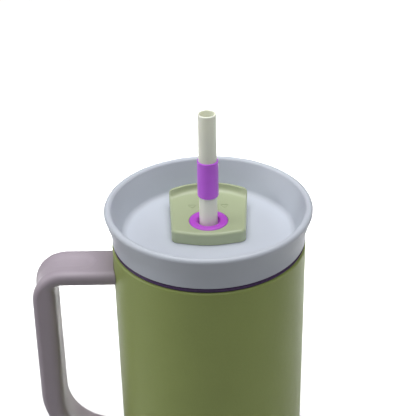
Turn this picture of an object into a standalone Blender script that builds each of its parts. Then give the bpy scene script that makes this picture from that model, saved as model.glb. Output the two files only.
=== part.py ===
"""Insulated tumbler with a handle, a push-in lid, a lift-out plug and a drinking straw.

Units are metres and +Z is up. The origin is the centre of the underside of the base pad, on the
tumbler's axis, and the handle is on the -X side. Each named object is one separate piece.
"""

import math

import bmesh
import bpy
from mathutils import Matrix, Vector

# Facets round a full turn, and the largest step along a rounded corner
BODY_FACETS = 40
SMALL_FACETS = 24
CORNER_STEP = math.radians(30)
SHOULDER_STEP = math.radians(20)
HOLE_FACETS = 12
# Angle from which an edge is shaded sharp, and the distance at which points are one
SHARP_ANGLE = math.radians(35)
MERGE_DISTANCE = 1e-7

# Clearance between two pieces that touch, and between a fastener and its hole
FACE_GAP = 0.0003
HOLE_GAP = 0.0003
# How far a cutter runs past the surface that it cuts
OVERCUT = 0.004

# Steel cup: one profile, from the lip down to the foot
CUP_HEIGHT = 0.2280
CUP_RADIUS = 0.0508
CUP_TAPER = 0.0008
LIP_ROUND = 0.0014
SHOULDER_TOP = 0.0860
SHOULDER_ANGLE = math.radians(40)
SHOULDER_BEND = 0.0140
FOOT_RADIUS = 0.0382
FOOT_TAPER = 0.0010
FOOT_ROUND = 0.0030
FOOT_LIFT = 0.0008
OUTER_WALL = 0.0006
VACUUM_GAP = 0.0022
LINER_WALL = 0.0005
LINER_FLOOR = 0.0085
LINER_ROUND = 0.0090

# Base of the cup
PAN_RADIUS = 0.0331
PAN_WALL = 0.0006
PAN_FLOOR = 0.0028
PAN_DIMPLE_RADIUS = 0.0052
PAN_DIMPLE_RISE = 0.0012
PORT_RADIUS = 0.0012
SEAL_RADIUS = 0.0044
SEAL_THICKNESS = 0.0006
PAD_ROUND = 0.0006
GETTER_RADIUS = 0.0060
GETTER_THICKNESS = 0.0020
GETTER_OFFSET = 0.0150

# Handle: a strap bent in the XZ plane
HANDLE_DROP = 0.0124
HANDLE_LIFT = 0.0050
HANDLE_WIDTH = 0.0260
HANDLE_ROUND = 0.0035
FINGER_ROOM = 0.0312
GRIP_THICKNESS = 0.0123
UPPER_ARM = 0.0090
LOWER_ARM = 0.0100
OUTER_TOP_BEND = 0.0180
OUTER_LOW_BEND = 0.0445
INNER_TOP_BEND = 0.0030
INNER_LOW_BEND = 0.0280
ARM_ROOT = 0.0070

# Soft grip strip let into the handle's outer face
STRIP_WIDTH = 0.0145
STRIP_THICKNESS = 0.0012
STRIP_START = 0.0093
STRIP_END_FLAT = 0.0004
STRIP_STOP = 0.0040
# Where the strip's rounded ends have stations, as shares of its half width
STRIP_END_SHARES = (0.0, 0.07, 0.22, 0.5)

# Brackets on the cup's wall, inside the handle's two ends, and their screws
TONGUE_LENGTH = 0.0120
TONGUE_WIDTH = 0.0150
TONGUE_THICKNESS = 0.0030
BRACKET_FOOT_LENGTH = 0.0020
BRACKET_FOOT_WIDTH = 0.0180
BRACKET_FOOT_HEIGHT = 0.0056
SCREW_REACH = 0.0056
SCREW_SPREAD = 0.0045
SCREW_RADIUS = 0.0014
SCREW_HEAD_RADIUS = 0.0026
SCREW_HEAD_HEIGHT = 0.0012
SCREW_SLOT = 0.0008

# Lid: a dish with a flared rim on a hollow base that enters the cup's mouth
SEAL_SHOWING = 0.0027
LID_INSET = 0.00025
LID_EDGE = 0.0004
FLARE_START = 0.0007
FLARE_BEND = 0.0300
FLARE_ANGLE = math.radians(18)
FLARE_STEP = math.radians(4)
RIM_HEIGHT = 0.0170
RIM_ROUND = 0.0020
DISH_ANGLE = math.radians(19)
DISH_FLOOR = 0.0021
DISH_ROUND = 0.0015
BASE_DEPTH = 0.0145
BASE_INSET = 0.0025
BASE_WALL = 0.0016
BASE_BEAD = 0.0014
BASE_BEAD_HEIGHT = 0.0018

# Gasket of the lid
GASKET_WALL = 0.0009
GASKET_FLANGE_INSET = 0.0008
GASKET_RIB = 0.0004
GASKET_FIN = 0.0008
GASKET_FIN_DROPS = (0.0045, 0.0090)

# Opening through the lid that the plug fills
OPENING_HALF_WIDTH = 0.0140
OPENING_FRONT = -0.0108
OPENING_BACK = 0.0250
OPENING_ROUND = 0.0090

# Plug: a cover with a raised back edge on a hollow stem
PLUG_HEIGHT = 0.0070
PLUG_FRONT = -0.0148
PLUG_FRONT_BEND = 0.0400
PLUG_FRONT_CORNER = (0.0192, -0.0103)
PLUG_BACK_CORNER = (0.0211, 0.02785)
PLUG_CORNER_ROUND = 0.0040
PLUG_BACK_RADIUS = 0.0348
PLUG_BACK_ANGLE = math.radians(32)
PLUG_EDGE_ROUND = 0.0015
TAB_RISE = 0.0037
TAB_FOOT_RADIUS = 0.0280
TAB_SWEEP = 0.0042
COVER_WALL = 0.0018
COVER_TOP = 0.0022
# Rings of the cover's top, as shares of its plan about the middle
COVER_RINGS = (0.93, 0.87, 0.80, 0.72, 0.6)
STEM_CLEARANCE = 0.0008
STEM_WALL = 0.0020
STEM_LIFT = 0.0015
STEM_PLATE = 0.0016
BOSS_RADIUS = 0.0093
STEM_GROOVE = 0.0009
STEM_GROOVE_DROP = 0.0090
STEM_GASKET_HEIGHT = 0.0028

# Straw, its sleeve and the grommet that holds it
STRAW_RADIUS = 0.00475
STRAW_WALL = 0.00105
STRAW_RISE = 0.0522
STRAW_TIP_ANGLE = math.radians(35)
STRAW_ROUND = 0.0004
STRAW_FOOT_GAP = 0.0005
SLEEVE_RISE = 0.0153
SLEEVE_LENGTH = 0.0205
SLEEVE_WALL = 0.0004
GROMMET_GAP = 0.00035
GROMMET_WALL = 0.0025
GROMMET_FLANGE = 0.0026
GROMMET_RECESS = 0.0013
GROMMET_RISE = 0.0007
GROMMET_FUNNEL = 0.00085
GROMMET_FUNNEL_DEPTH = 0.00255
GROMMET_LENGTH = 0.0165

# Looks, each a colour, a roughness and a metallic value
GREEN_COAT = ((0.30, 0.365, 0.104), 0.46, 0.0)
BARE_STEEL = ((0.62, 0.62, 0.60), 0.28, 1.0)
BASE_STEEL = ((0.58, 0.58, 0.57), 0.35, 1.0)
SOLDER = ((0.45, 0.45, 0.44), 0.5, 1.0)
GETTER_METAL = ((0.35, 0.35, 0.36), 0.5, 1.0)
SCREW_STEEL = ((0.50, 0.50, 0.51), 0.35, 1.0)
PAD_SILICONE = ((0.30, 0.27, 0.29), 0.7, 0.0)
HANDLE_PLASTIC = ((0.365, 0.315, 0.365), 0.46, 0.0)
GRIP_RUBBER = ((0.35, 0.308, 0.355), 0.60, 0.0)
LID_PLASTIC = ((0.51, 0.545, 0.61), 0.42, 0.0)
PLUG_PLASTIC = ((0.39, 0.44, 0.29), 0.35, 0.0)
DARK_SILICONE = ((0.045, 0.01, 0.08), 0.5, 0.0)
VIOLET_SILICONE = ((0.45, 0.10, 0.60), 0.48, 0.0)
STRAW_PLASTIC = ((0.90, 0.92, 0.80), 0.34, 0.0)

# Heights and radii that follow from the sizes above
MOUTH_RADIUS = CUP_RADIUS - OUTER_WALL - VACUUM_GAP - LINER_WALL
LID_BOTTOM = CUP_HEIGHT + SEAL_SHOWING
LID_FLOOR = LID_BOTTOM + DISH_FLOOR
LID_TOP = LID_BOTTOM + RIM_HEIGHT + RIM_ROUND
LID_BASE_BOTTOM = CUP_HEIGHT - BASE_DEPTH
LID_BASE_TOP = LID_BOTTOM - FACE_GAP
LID_BASE_RADIUS = MOUTH_RADIUS - BASE_INSET
PLUG_BOTTOM = LID_FLOOR + FACE_GAP
PLUG_TOP = LID_FLOOR + PLUG_HEIGHT
STEM_BOTTOM = LID_BASE_BOTTOM + STEM_LIFT
GROMMET_BORE = STRAW_RADIUS + GROMMET_GAP
GROMMET_RADIUS = GROMMET_BORE + GROMMET_WALL
BOSS_BORE = GROMMET_RADIUS + FACE_GAP
UPPER_ARM_TOP = CUP_HEIGHT - HANDLE_DROP
LOWER_ARM_BOTTOM = SHOULDER_TOP + HANDLE_LIFT
STRAW_TOP = LID_TOP + STRAW_RISE
STRAW_BOTTOM = LINER_FLOOR + STRAW_FOOT_GAP


# ---------------------------------------------------------------- outlines

def arc(centre, radius, start, end, step=CORNER_STEP):
    """Points on a circle from one angle to another, both ends included."""
    count = max(1, math.ceil(abs(end - start) / step - 1e-9))
    angles = [start + (end - start) * i / count for i in range(count + 1)]
    return [(centre[0] + radius * math.cos(a), centre[1] + radius * math.sin(a)) for a in angles]


def rounded(corners, closed=True, step=CORNER_STEP):
    """An outline from corners (x, y, radius), each replaced by an arc tangent to both its sides."""
    points = []
    count = len(corners)
    for i, (x, y, radius) in enumerate(corners):
        if radius == 0 or (not closed and i in (0, count - 1)):
            points.append((x, y))
            continue
        corner = Vector((x, y))
        before = (Vector(corners[i - 1][:2]) - corner).normalized()
        after = (Vector(corners[(i + 1) % count][:2]) - corner).normalized()
        half = before.angle(after) / 2
        centre = corner + (before + after).normalized() * radius / math.sin(half)
        first = corner + before * radius / math.tan(half) - centre
        last = corner + after * radius / math.tan(half) - centre
        start = math.atan2(first.y, first.x)
        turn = (math.atan2(last.y, last.x) - start + math.pi) % math.tau - math.pi
        points += arc(centre, radius, start, start + turn, step)
    return points


def offset(path, distance, closed=False):
    """The path moved to its left by a distance, with mitred corners."""
    moved = []
    count = len(path)
    for i, point in enumerate(path):
        here = Vector(point)
        sides = []
        if closed or i > 0:
            sides.append((here - Vector(path[i - 1])).normalized())
        if closed or i < count - 1:
            sides.append((Vector(path[(i + 1) % count]) - here).normalized())
        normals = [Vector((-side.y, side.x)) for side in sides]
        mean = (normals[0] + normals[-1]).normalized()
        moved.append(tuple(here + mean * distance / mean.dot(normals[0])))
    return moved


def crossing(above, below, height):
    """The point at a height on the straight run between two points."""
    share = (above[1] - height) / (above[1] - below[1])
    return (above[0] + (below[0] - above[0]) * share, height)


def ended(path, height):
    """The part of a falling path that lies above a height, ended exactly there."""
    kept = [point for point in path if point[1] > height]
    return kept + [crossing(path[len(kept) - 1], path[len(kept)], height)]


def started(path, height):
    """The part of a falling path that lies below a height, started exactly there."""
    kept = [point for point in path if point[1] < height]
    first = len(path) - len(kept)
    return [crossing(path[first - 1], path[first], height)] + kept


# ---------------------------------------------------------------- solids

def finish(name, mesh_builder, look):
    """Makes one object from a bmesh, its faces turned outwards, with a material of its own."""
    bmesh.ops.remove_doubles(mesh_builder, verts=mesh_builder.verts, dist=MERGE_DISTANCE)
    bmesh.ops.recalc_face_normals(mesh_builder, faces=mesh_builder.faces)
    if mesh_builder.calc_volume(signed=True) < 0:
        bmesh.ops.reverse_faces(mesh_builder, faces=mesh_builder.faces)
    mesh = bpy.data.meshes.new(name)
    mesh_builder.to_mesh(mesh)
    mesh_builder.free()
    mesh.shade_smooth()
    mesh.set_sharp_from_angle(angle=SHARP_ANGLE)
    if look:
        mesh.materials.append(paint(name, *look))
    thing = bpy.data.objects.new(name, mesh)
    bpy.context.scene.collection.objects.link(thing)
    return thing


def turned(name, profile, facets, look=None):
    """A solid of revolution about Z from a closed profile of (radius, height) points."""
    builder = bmesh.new()
    ring = [builder.verts.new((r, 0, z)) for r, z in profile]
    edges = [builder.edges.new((ring[i - 1], ring[i])) for i in range(len(ring))
             if max(profile[i - 1][0], profile[i][0]) > 1e-9]
    bmesh.ops.spin(builder, geom=ring + edges, axis=(0, 0, 1), cent=(0, 0, 0),
                   angle=math.tau, steps=facets, use_merge=True)
    return finish(name, builder, look)


def stacked(name, loops, look=None):
    """A solid skinned over loops that all hold the same number of points, with both ends capped."""
    builder = bmesh.new()
    rings = [[builder.verts.new(point) for point in loop] for loop in loops]
    for low, high in zip(rings, rings[1:]):
        for i in range(len(low)):
            builder.faces.new((low[i - 1], low[i], high[i], high[i - 1]))
    builder.faces.new(reversed(rings[0]))
    builder.faces.new(rings[-1])
    return finish(name, builder, look)


def prism(name, outline, bottom, top, look=None):
    """An outline in the XY plane raised from one height to another."""
    return stacked(name, [[(x, y, z) for x, y in outline] for z in (bottom, top)], look)


def block(name, low, high, look=None):
    """A box between two opposite corners."""
    outline = [(low[0], low[1]), (high[0], low[1]), (high[0], high[1]), (low[0], high[1])]
    return prism(name, outline, low[2], high[2], look)


def pillar(name, place, radius, bottom, top, facets=SMALL_FACETS, look=None):
    """An upright cylinder."""
    outline = [(place[0] + x, place[1] + y) for x, y in arc((0, 0), radius, 0, math.tau, math.tau / facets)]
    return prism(name, outline[:-1], bottom, top, look)


def combine(body, tool, operation):
    """Adds a Boolean to a body and hides its tool."""
    modifier = body.modifiers.new(tool.name, "BOOLEAN")
    modifier.object = tool
    modifier.operation = operation
    modifier.solver = "EXACT"
    tool.hide_render = True
    tool.display_type = "WIRE"


def cut(body, tool):
    """Removes a tool's volume from a body."""
    combine(body, tool, "DIFFERENCE")


def join(body, tool):
    """Adds a tool's volume to a body."""
    combine(body, tool, "UNION")


def paint(name, colour, roughness, metallic):
    """A plain material of one colour."""
    material = bpy.data.materials.new(name)
    material.use_nodes = True
    shader = material.node_tree.nodes["Principled BSDF"]
    shader.inputs["Base Color"].default_value = (*colour, 1)
    shader.inputs["Roughness"].default_value = roughness
    shader.inputs["Metallic"].default_value = metallic
    material.diffuse_color = (*colour, 1)
    return material


# ---------------------------------------------------------------- cup

def cup_wall(inward=0.0):
    """The cup's side from just under the lip down to the foot's corner, moved inwards by a distance."""
    bend = SHOULDER_BEND
    waist = CUP_RADIUS - CUP_TAPER
    step_in = waist - FOOT_RADIUS
    straight = (step_in - 2 * bend * (1 - math.cos(SHOULDER_ANGLE))) / math.sin(SHOULDER_ANGLE)
    drop = 2 * bend * math.sin(SHOULDER_ANGLE) + straight * math.cos(SHOULDER_ANGLE)
    shoulder = arc((waist - bend, SHOULDER_TOP), bend, 0, -SHOULDER_ANGLE, SHOULDER_STEP)
    hollow_centre = (FOOT_RADIUS + bend, SHOULDER_TOP - drop)
    hollow = arc(hollow_centre, bend, math.pi - SHOULDER_ANGLE, math.pi, SHOULDER_STEP)
    path = [(CUP_RADIUS, CUP_HEIGHT - LIP_ROUND)]
    path += shoulder
    path += hollow
    path.append((FOOT_RADIUS - FOOT_TAPER, FOOT_LIFT + FOOT_ROUND))
    return offset(path, -inward)


def make_outer_shell(look):
    """The painted outer wall: lip turned in at the top, foot turned in at the bottom, both open."""
    lip_centre = (CUP_RADIUS - LIP_ROUND, CUP_HEIGHT - LIP_ROUND)
    foot_centre = (FOOT_RADIUS - FOOT_TAPER - FOOT_ROUND, FOOT_LIFT + FOOT_ROUND)
    foot_edge = PAN_RADIUS + FACE_GAP
    outside = arc(lip_centre, LIP_ROUND, math.pi / 2, 0)[:-1] + cup_wall()
    outside += arc(foot_centre, FOOT_ROUND, 0, -math.pi / 2)[1:] + [(foot_edge, FOOT_LIFT)]
    inside = arc(lip_centre, LIP_ROUND - OUTER_WALL, math.pi / 2, 0)[:-1] + cup_wall(OUTER_WALL)
    inside += arc(foot_centre, FOOT_ROUND - OUTER_WALL, 0, -math.pi / 2)[1:]
    inside.append((foot_edge, FOOT_LIFT + OUTER_WALL))
    return turned("outer_shell", outside + inside[::-1], BODY_FACETS, look)


def liner_path(inward, corner):
    """One face of the liner: its side and bottom corner, ended where the flat floor begins."""
    floor = LINER_FLOOR - (corner - LINER_ROUND)
    side = ended(cup_wall(inward), floor + corner)
    centre = (side[-1][0] - corner, floor + corner)
    return side + arc(centre, corner, 0, -math.pi / 2)[1:]


def make_inner_liner(look):
    """The bare steel inner wall: a flange at the mouth that meets the lip, and a corner at the foot."""
    outer_face = OUTER_WALL + VACUUM_GAP
    inner_face = outer_face + LINER_WALL
    flange_edge = CUP_RADIUS - LIP_ROUND - FACE_GAP
    bend = flange_edge - MOUTH_RADIUS
    start = CUP_HEIGHT - bend
    inside = started(liner_path(inner_face, LINER_ROUND), start)
    centre = (inside[0][0] + bend, start)
    inside = arc(centre, bend, math.pi / 2, math.pi)[:-1] + inside
    outside = started(liner_path(outer_face, LINER_ROUND + LINER_WALL), start)
    outside = arc(centre, bend - LINER_WALL, math.pi / 2, math.pi)[:-1] + outside
    inside.insert(0, (flange_edge, CUP_HEIGHT))
    outside.insert(0, (flange_edge, CUP_HEIGHT - LINER_WALL))
    return turned("inner_liner", outside + inside[::-1], BODY_FACETS, look)


def make_liner_floor(look):
    """The flat steel disc welded into the liner's corner."""
    radius = liner_path(OUTER_WALL + VACUUM_GAP + LINER_WALL, LINER_ROUND)[-1][0] - FACE_GAP
    return pillar("liner_floor", (0, 0), radius, LINER_FLOOR - LINER_WALL, LINER_FLOOR, BODY_FACETS, look)


def make_base_pan(look):
    """The steel disc that closes the foot, with a dimple and the hole that the air was drawn out by."""
    top = PAN_FLOOR + PAN_WALL
    profile = [
        (PAN_RADIUS, FOOT_LIFT), (PAN_RADIUS, top),
        (PAN_DIMPLE_RADIUS + PAN_WALL, top),
        (PAN_DIMPLE_RADIUS, top + PAN_DIMPLE_RISE),
        (PORT_RADIUS, top + PAN_DIMPLE_RISE), (PORT_RADIUS, PAN_FLOOR + PAN_DIMPLE_RISE),
        (PAN_DIMPLE_RADIUS - PAN_WALL / 2, PAN_FLOOR + PAN_DIMPLE_RISE),
        (PAN_DIMPLE_RADIUS, PAN_FLOOR),
        (PAN_RADIUS - PAN_WALL, PAN_FLOOR), (PAN_RADIUS - PAN_WALL, FOOT_LIFT),
    ]
    return turned("base_pan", profile, BODY_FACETS, look)


def make_vacuum_seal(look):
    """The disc soldered into the pan's dimple, with a stub in the hole."""
    top = PAN_FLOOR + PAN_DIMPLE_RISE - FACE_GAP
    stub = PORT_RADIUS - HOLE_GAP
    profile = [(0, top + PAN_WALL), (stub, top + PAN_WALL), (stub, top), (SEAL_RADIUS, top),
               (SEAL_RADIUS, top - SEAL_THICKNESS), (0, top - SEAL_THICKNESS)]
    return turned("vacuum_seal", profile, SMALL_FACETS, look)


def make_base_pad(look):
    """The soft disc that the tumbler stands on."""
    radius = PAN_RADIUS - PAN_WALL - FACE_GAP
    top = PAN_FLOOR - FACE_GAP
    profile = [(0, 0), (radius - PAD_ROUND, 0), (radius, PAD_ROUND), (radius, top), (0, top)]
    return turned("base_pad", profile, BODY_FACETS, look)


def make_getter(look):
    """The gas-absorbing capsule on the liner's underside."""
    top = LINER_FLOOR - LINER_WALL - FACE_GAP
    return pillar("getter_capsule", (GETTER_OFFSET, 0), GETTER_RADIUS, top - GETTER_THICKNESS, top,
                  look=look)


# ---------------------------------------------------------------- handle

def handle_outer_x():
    """How far out the handle's outer face is, as a negative X."""
    return -(CUP_RADIUS + FINGER_ROOM + GRIP_THICKNESS)


def handle_outline():
    """The handle's side view as (x, z), run into the cup so that its wall can trim both arms."""
    root = -(CUP_RADIUS - ARM_ROOT)
    outer = handle_outer_x()
    inner = outer + GRIP_THICKNESS
    corners = [
        (root, UPPER_ARM_TOP, 0), (outer, UPPER_ARM_TOP, OUTER_TOP_BEND),
        (outer, LOWER_ARM_BOTTOM, OUTER_LOW_BEND), (root, LOWER_ARM_BOTTOM, 0),
        (root, LOWER_ARM_BOTTOM + LOWER_ARM, 0),
        (inner, LOWER_ARM_BOTTOM + LOWER_ARM, INNER_LOW_BEND),
        (inner, UPPER_ARM_TOP - UPPER_ARM, INNER_TOP_BEND), (root, UPPER_ARM_TOP - UPPER_ARM, 0),
    ]
    return rounded(corners, step=CORNER_STEP / 2)


def cup_cutter(name, clearance):
    """A solid of the cup's outside, grown by a clearance, that trims what is fixed to the wall."""
    side = cup_wall(-clearance)
    bottom = side[-1][1]
    profile = [(0, CUP_HEIGHT), (side[0][0], CUP_HEIGHT)] + side + [(0, bottom)]
    return turned(name, profile, BODY_FACETS)


def arm_heights():
    """The middle height of each arm, upper arm first."""
    return [("upper", UPPER_ARM_TOP - UPPER_ARM / 2), ("lower", LOWER_ARM_BOTTOM + LOWER_ARM / 2)]


def bracket_blocks(name, middle, grow):
    """A bracket's tongue and foot as two boxes, grown by a clearance and run into the cup."""
    wall = -(CUP_RADIUS - ARM_ROOT)
    tip = -(CUP_RADIUS + TONGUE_LENGTH) - grow
    foot_tip = -(CUP_RADIUS + BRACKET_FOOT_LENGTH) - grow
    half_width, half_height = TONGUE_WIDTH / 2 + grow, TONGUE_THICKNESS / 2 + grow
    foot_width, foot_height = BRACKET_FOOT_WIDTH / 2 + grow, BRACKET_FOOT_HEIGHT / 2 + grow
    tongue = block(f"{name}_tongue", (tip, -half_width, middle - half_height),
                   (wall, half_width, middle + half_height))
    foot = block(f"{name}_foot", (foot_tip, -foot_width, middle - foot_height),
                 (wall, foot_width, middle + foot_height))
    return tongue, foot


def screw_places():
    """Where the screws of one arm stand, as (side name, x, y)."""
    x = -(CUP_RADIUS + SCREW_REACH)
    return [("front", x, -SCREW_SPREAD), ("back", x, SCREW_SPREAD)]


def make_bracket(side, middle, trimmer, look):
    """A steel tongue welded to the cup's wall, with a hole for each screw."""
    tongue, foot = bracket_blocks(f"bracket_{side}", middle, 0)
    name = f"handle_bracket_{side}"
    bracket = tongue
    bracket.name = name
    bracket.data.materials.append(paint(name, *look))
    join(bracket, foot)
    cut(bracket, trimmer)
    for place, x, y in screw_places():
        hole = pillar(f"{name}_hole_{place}", (x, y), SCREW_RADIUS + HOLE_GAP,
                      middle - TONGUE_THICKNESS, middle + TONGUE_THICKNESS, HOLE_FACETS)
        cut(bracket, hole)
    return bracket


def underside(side):
    """The height of an arm's underside where its screws' heads enter it."""
    if side == "upper":
        return UPPER_ARM_TOP - UPPER_ARM
    bend_start = handle_outer_x() + OUTER_LOW_BEND
    run = max(bend_start + CUP_RADIUS + SCREW_REACH + SCREW_HEAD_RADIUS, 0)
    return LOWER_ARM_BOTTOM + OUTER_LOW_BEND - math.sqrt(OUTER_LOW_BEND ** 2 - run ** 2)


def make_screw(side, place, x, y, middle, look):
    """A slotted screw that enters an arm from below, up to the far side of the bracket's tongue."""
    face = underside(side)
    name = f"handle_screw_{side}_{place}"
    head_bottom = face + FACE_GAP
    head_top = head_bottom + SCREW_HEAD_HEIGHT
    profile = [(0, head_bottom), (SCREW_HEAD_RADIUS, head_bottom), (SCREW_HEAD_RADIUS, head_top),
               (SCREW_RADIUS, head_top), (SCREW_RADIUS, middle + TONGUE_THICKNESS / 2),
               (0, middle + TONGUE_THICKNESS / 2)]
    screw = turned(name, profile, SMALL_FACETS, look)
    screw.location = (x, y, 0)
    slot_half = SCREW_SLOT / 2
    slot = block(f"{name}_slot", (x - SCREW_HEAD_RADIUS * 2, y - slot_half, face - OVERCUT),
                 (x + SCREW_HEAD_RADIUS * 2, y + slot_half, head_bottom + SCREW_HEAD_HEIGHT / 2))
    cut(screw, slot)
    return screw


def strip_solid(name, grow, look=None):
    """The grip strip along the handle's outer face, or its recess when grown by a clearance."""
    outer = handle_outer_x()
    half = STRIP_WIDTH / 2
    stop = LOWER_ARM_BOTTOM + OUTER_LOW_BEND + STRIP_STOP
    corners = [(-CUP_RADIUS - STRIP_START, UPPER_ARM_TOP, 0), (outer, UPPER_ARM_TOP, OUTER_TOP_BEND),
               (outer, stop, 0)]
    path = rounded(corners, closed=False, step=CORNER_STEP / 2)
    path = rounded_run(path, half, grow)
    outside = offset(path, -OVERCUT if grow else 0)
    inside = offset(path, STRIP_THICKNESS + 2 * grow)
    loops = []
    total = path_length(path)
    travelled = 0.0
    for i, (out, deep) in enumerate(zip(outside, inside)):
        if i:
            travelled += math.dist(path[i], path[i - 1])
        near = min(travelled, total - travelled) + STRIP_END_FLAT
        reach = min(near, half)
        width = math.sqrt(half ** 2 - (half - reach) ** 2) + grow
        loops.append([(out[0], -width, out[1]), (out[0], width, out[1]),
                      (deep[0], width, deep[1]), (deep[0], -width, deep[1])])
    return stacked(name, loops, look)


def path_length(path):
    """The length of a path of straight pieces."""
    return sum(math.dist(a, b) for a, b in zip(path, path[1:]))


def rounded_run(path, half, grow):
    """The path, lengthened by a clearance, with stations near both ends where its width rounds off."""
    run = []
    for end, inner in ((path[0], path[1]), (path[-1], path[-2])):
        direction = (Vector(inner) - Vector(end)).normalized()
        run.append([tuple(Vector(end) + direction * (half * share - grow)) for share in STRIP_END_SHARES])
    return run[0] + path[1:-1] + run[1][::-1]


def make_handle(trimmer, look):
    """The rigid handle: a rounded strap, trimmed by the cup's wall, with room for what it holds."""
    outline = handle_outline()
    half = HANDLE_WIDTH / 2
    loops = []
    for side in (-1, 1):
        turns = range(4) if side < 0 else range(3, -1, -1)
        for i in turns:
            angle = math.radians(30 * i)
            inset = HANDLE_ROUND * (1 - math.sin(angle))
            y = side * (half - HANDLE_ROUND * (1 - math.cos(angle)))
            loops.append([(x, y, z) for x, z in offset(outline, inset, closed=True)])
    handle = stacked("handle_frame", loops, look)
    cut(handle, trimmer)
    cut(handle, strip_solid("grip_recess", FACE_GAP))
    for side, middle in arm_heights():
        tongue, foot = bracket_blocks(f"pocket_{side}", middle, HOLE_GAP)
        cut(handle, tongue)
        cut(handle, foot)
        face = underside(side)
        for place, x, y in screw_places():
            head_room = SCREW_HEAD_HEIGHT + 2 * FACE_GAP
            cut(handle, pillar(f"head_room_{side}_{place}", (x, y), SCREW_HEAD_RADIUS + HOLE_GAP,
                               face - OVERCUT, face + head_room))
            cut(handle, pillar(f"shank_room_{side}_{place}", (x, y), SCREW_RADIUS + HOLE_GAP,
                               face, middle, HOLE_FACETS))
    return handle


# ---------------------------------------------------------------- lid

def lid_dish_profile():
    """The lid's closed section: flared outside, round rim, sloping inside, floor and flat underside."""
    waist = CUP_RADIUS - LID_INSET
    bend_end = FLARE_BEND * (1 - math.cos(FLARE_ANGLE))
    start = LID_BOTTOM + FLARE_START
    flare = arc((waist + FLARE_BEND, start), FLARE_BEND, math.pi, math.pi - FLARE_ANGLE, FLARE_STEP)
    touch = LID_BOTTOM + RIM_HEIGHT - RIM_ROUND * math.sin(FLARE_ANGLE)
    reach = waist + bend_end + (touch - flare[-1][1]) * math.tan(FLARE_ANGLE)
    rim_centre = (reach - RIM_ROUND * math.cos(FLARE_ANGLE), LID_BOTTOM + RIM_HEIGHT)
    rim = arc(rim_centre, RIM_ROUND, -FLARE_ANGLE, math.pi - DISH_ANGLE)
    wall_top = rim[-1]
    wall_foot = wall_top[0] - (wall_top[1] - LID_FLOOR) * math.tan(DISH_ANGLE)
    inside = rounded([(*wall_top, 0), (wall_foot, LID_FLOOR, DISH_ROUND), (0, LID_FLOOR, 0)], closed=False)
    return ([(waist - LID_EDGE, LID_BOTTOM), (waist, LID_BOTTOM + LID_EDGE)] + flare + rim
            + inside[1:] + [(0, LID_BOTTOM)])


def opening_outline(inset=0.0):
    """The plan of the opening through the lid, made smaller by an inset."""
    half, front, back = OPENING_HALF_WIDTH, OPENING_FRONT, OPENING_BACK
    corners = [(half, front, OPENING_ROUND), (half, back, OPENING_ROUND),
               (-half, back, OPENING_ROUND), (-half, front, OPENING_ROUND)]
    return offset(rounded(corners), inset, closed=True)


def make_lid_shell(look):
    """The dish that forms the lid's top, open where the plug goes."""
    shell = turned("lid_shell", lid_dish_profile(), BODY_FACETS, look)
    cut(shell, prism("dish_opening", opening_outline(), LID_BOTTOM - OVERCUT, LID_FLOOR + OVERCUT))
    return shell


def make_lid_base(look):
    """The hollow lower half of the lid, with a tunnel round the plug's opening."""
    radius, top, bottom = LID_BASE_RADIUS, LID_BASE_TOP, LID_BASE_BOTTOM
    bead_top = bottom + BASE_BEAD_HEIGHT
    profile = [(0, bottom), (radius + BASE_BEAD, bottom), (radius + BASE_BEAD, bead_top),
               (radius, bead_top), (radius, top), (radius - BASE_WALL, top),
               (radius - BASE_WALL, bottom + BASE_WALL), (0, bottom + BASE_WALL)]
    base = turned("lid_base", profile, BODY_FACETS, look)
    join(base, prism("tunnel_wall", opening_outline(-BASE_WALL), bottom + BASE_WALL / 2, top))
    cut(base, prism("tunnel_bore", opening_outline(), bottom - OVERCUT, top + OVERCUT))
    return base


def make_lid_gasket(look):
    """The soft ring between lid and cup: a ribbed flange on the lip and a sleeve with two fins."""
    inner = LID_BASE_RADIUS + FACE_GAP
    sleeve = inner + GASKET_WALL
    fin_tip = MOUTH_RADIUS - FACE_GAP
    edge = CUP_RADIUS - GASKET_FLANGE_INSET
    low, high = CUP_HEIGHT + FACE_GAP, LID_BOTTOM - FACE_GAP
    middle = (low + high) / 2
    bottom = LID_BASE_BOTTOM + BASE_BEAD_HEIGHT + FACE_GAP
    profile = [(inner, high), (inner, bottom), (sleeve, bottom)]
    for drop in reversed(GASKET_FIN_DROPS):
        height = CUP_HEIGHT - drop
        profile += [(sleeve, height - GASKET_FIN / 2), (fin_tip, height), (sleeve, height + GASKET_FIN)]
    profile += [(sleeve, low), (edge, low), (edge, middle - GASKET_RIB), (edge + GASKET_RIB, middle),
                (edge, middle + GASKET_RIB), (edge, high)]
    return turned("lid_gasket", profile, BODY_FACETS, look)


# ---------------------------------------------------------------- plug

def plug_outline(inset=0.0):
    """The plug's plan: curved front, slightly flaring sides and a back that follows the lid's rim."""
    (front_x, front_y), (back_x, back_y) = PLUG_FRONT_CORNER, PLUG_BACK_CORNER
    back_point = PLUG_BACK_RADIUS / math.cos(PLUG_BACK_ANGLE)
    corners = [(0, PLUG_FRONT, PLUG_FRONT_BEND), (front_x, front_y, PLUG_CORNER_ROUND),
               (back_x, back_y, PLUG_CORNER_ROUND), (0, back_point, PLUG_BACK_RADIUS),
               (-back_x, back_y, PLUG_CORNER_ROUND), (-front_x, front_y, PLUG_CORNER_ROUND)]
    return offset(rounded(corners, step=CORNER_STEP / 3), inset, closed=True)


def tab_height(x, y):
    """The cover's top surface: flat, then swept up in a hollow curve towards the back edge."""
    along = min(max(math.hypot(x, y) - TAB_FOOT_RADIUS, 0.0), TAB_SWEEP) if y > 0 else 0.0
    return PLUG_TOP + TAB_RISE * (1 - math.sqrt(1 - (along / TAB_SWEEP) ** 2))


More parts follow.
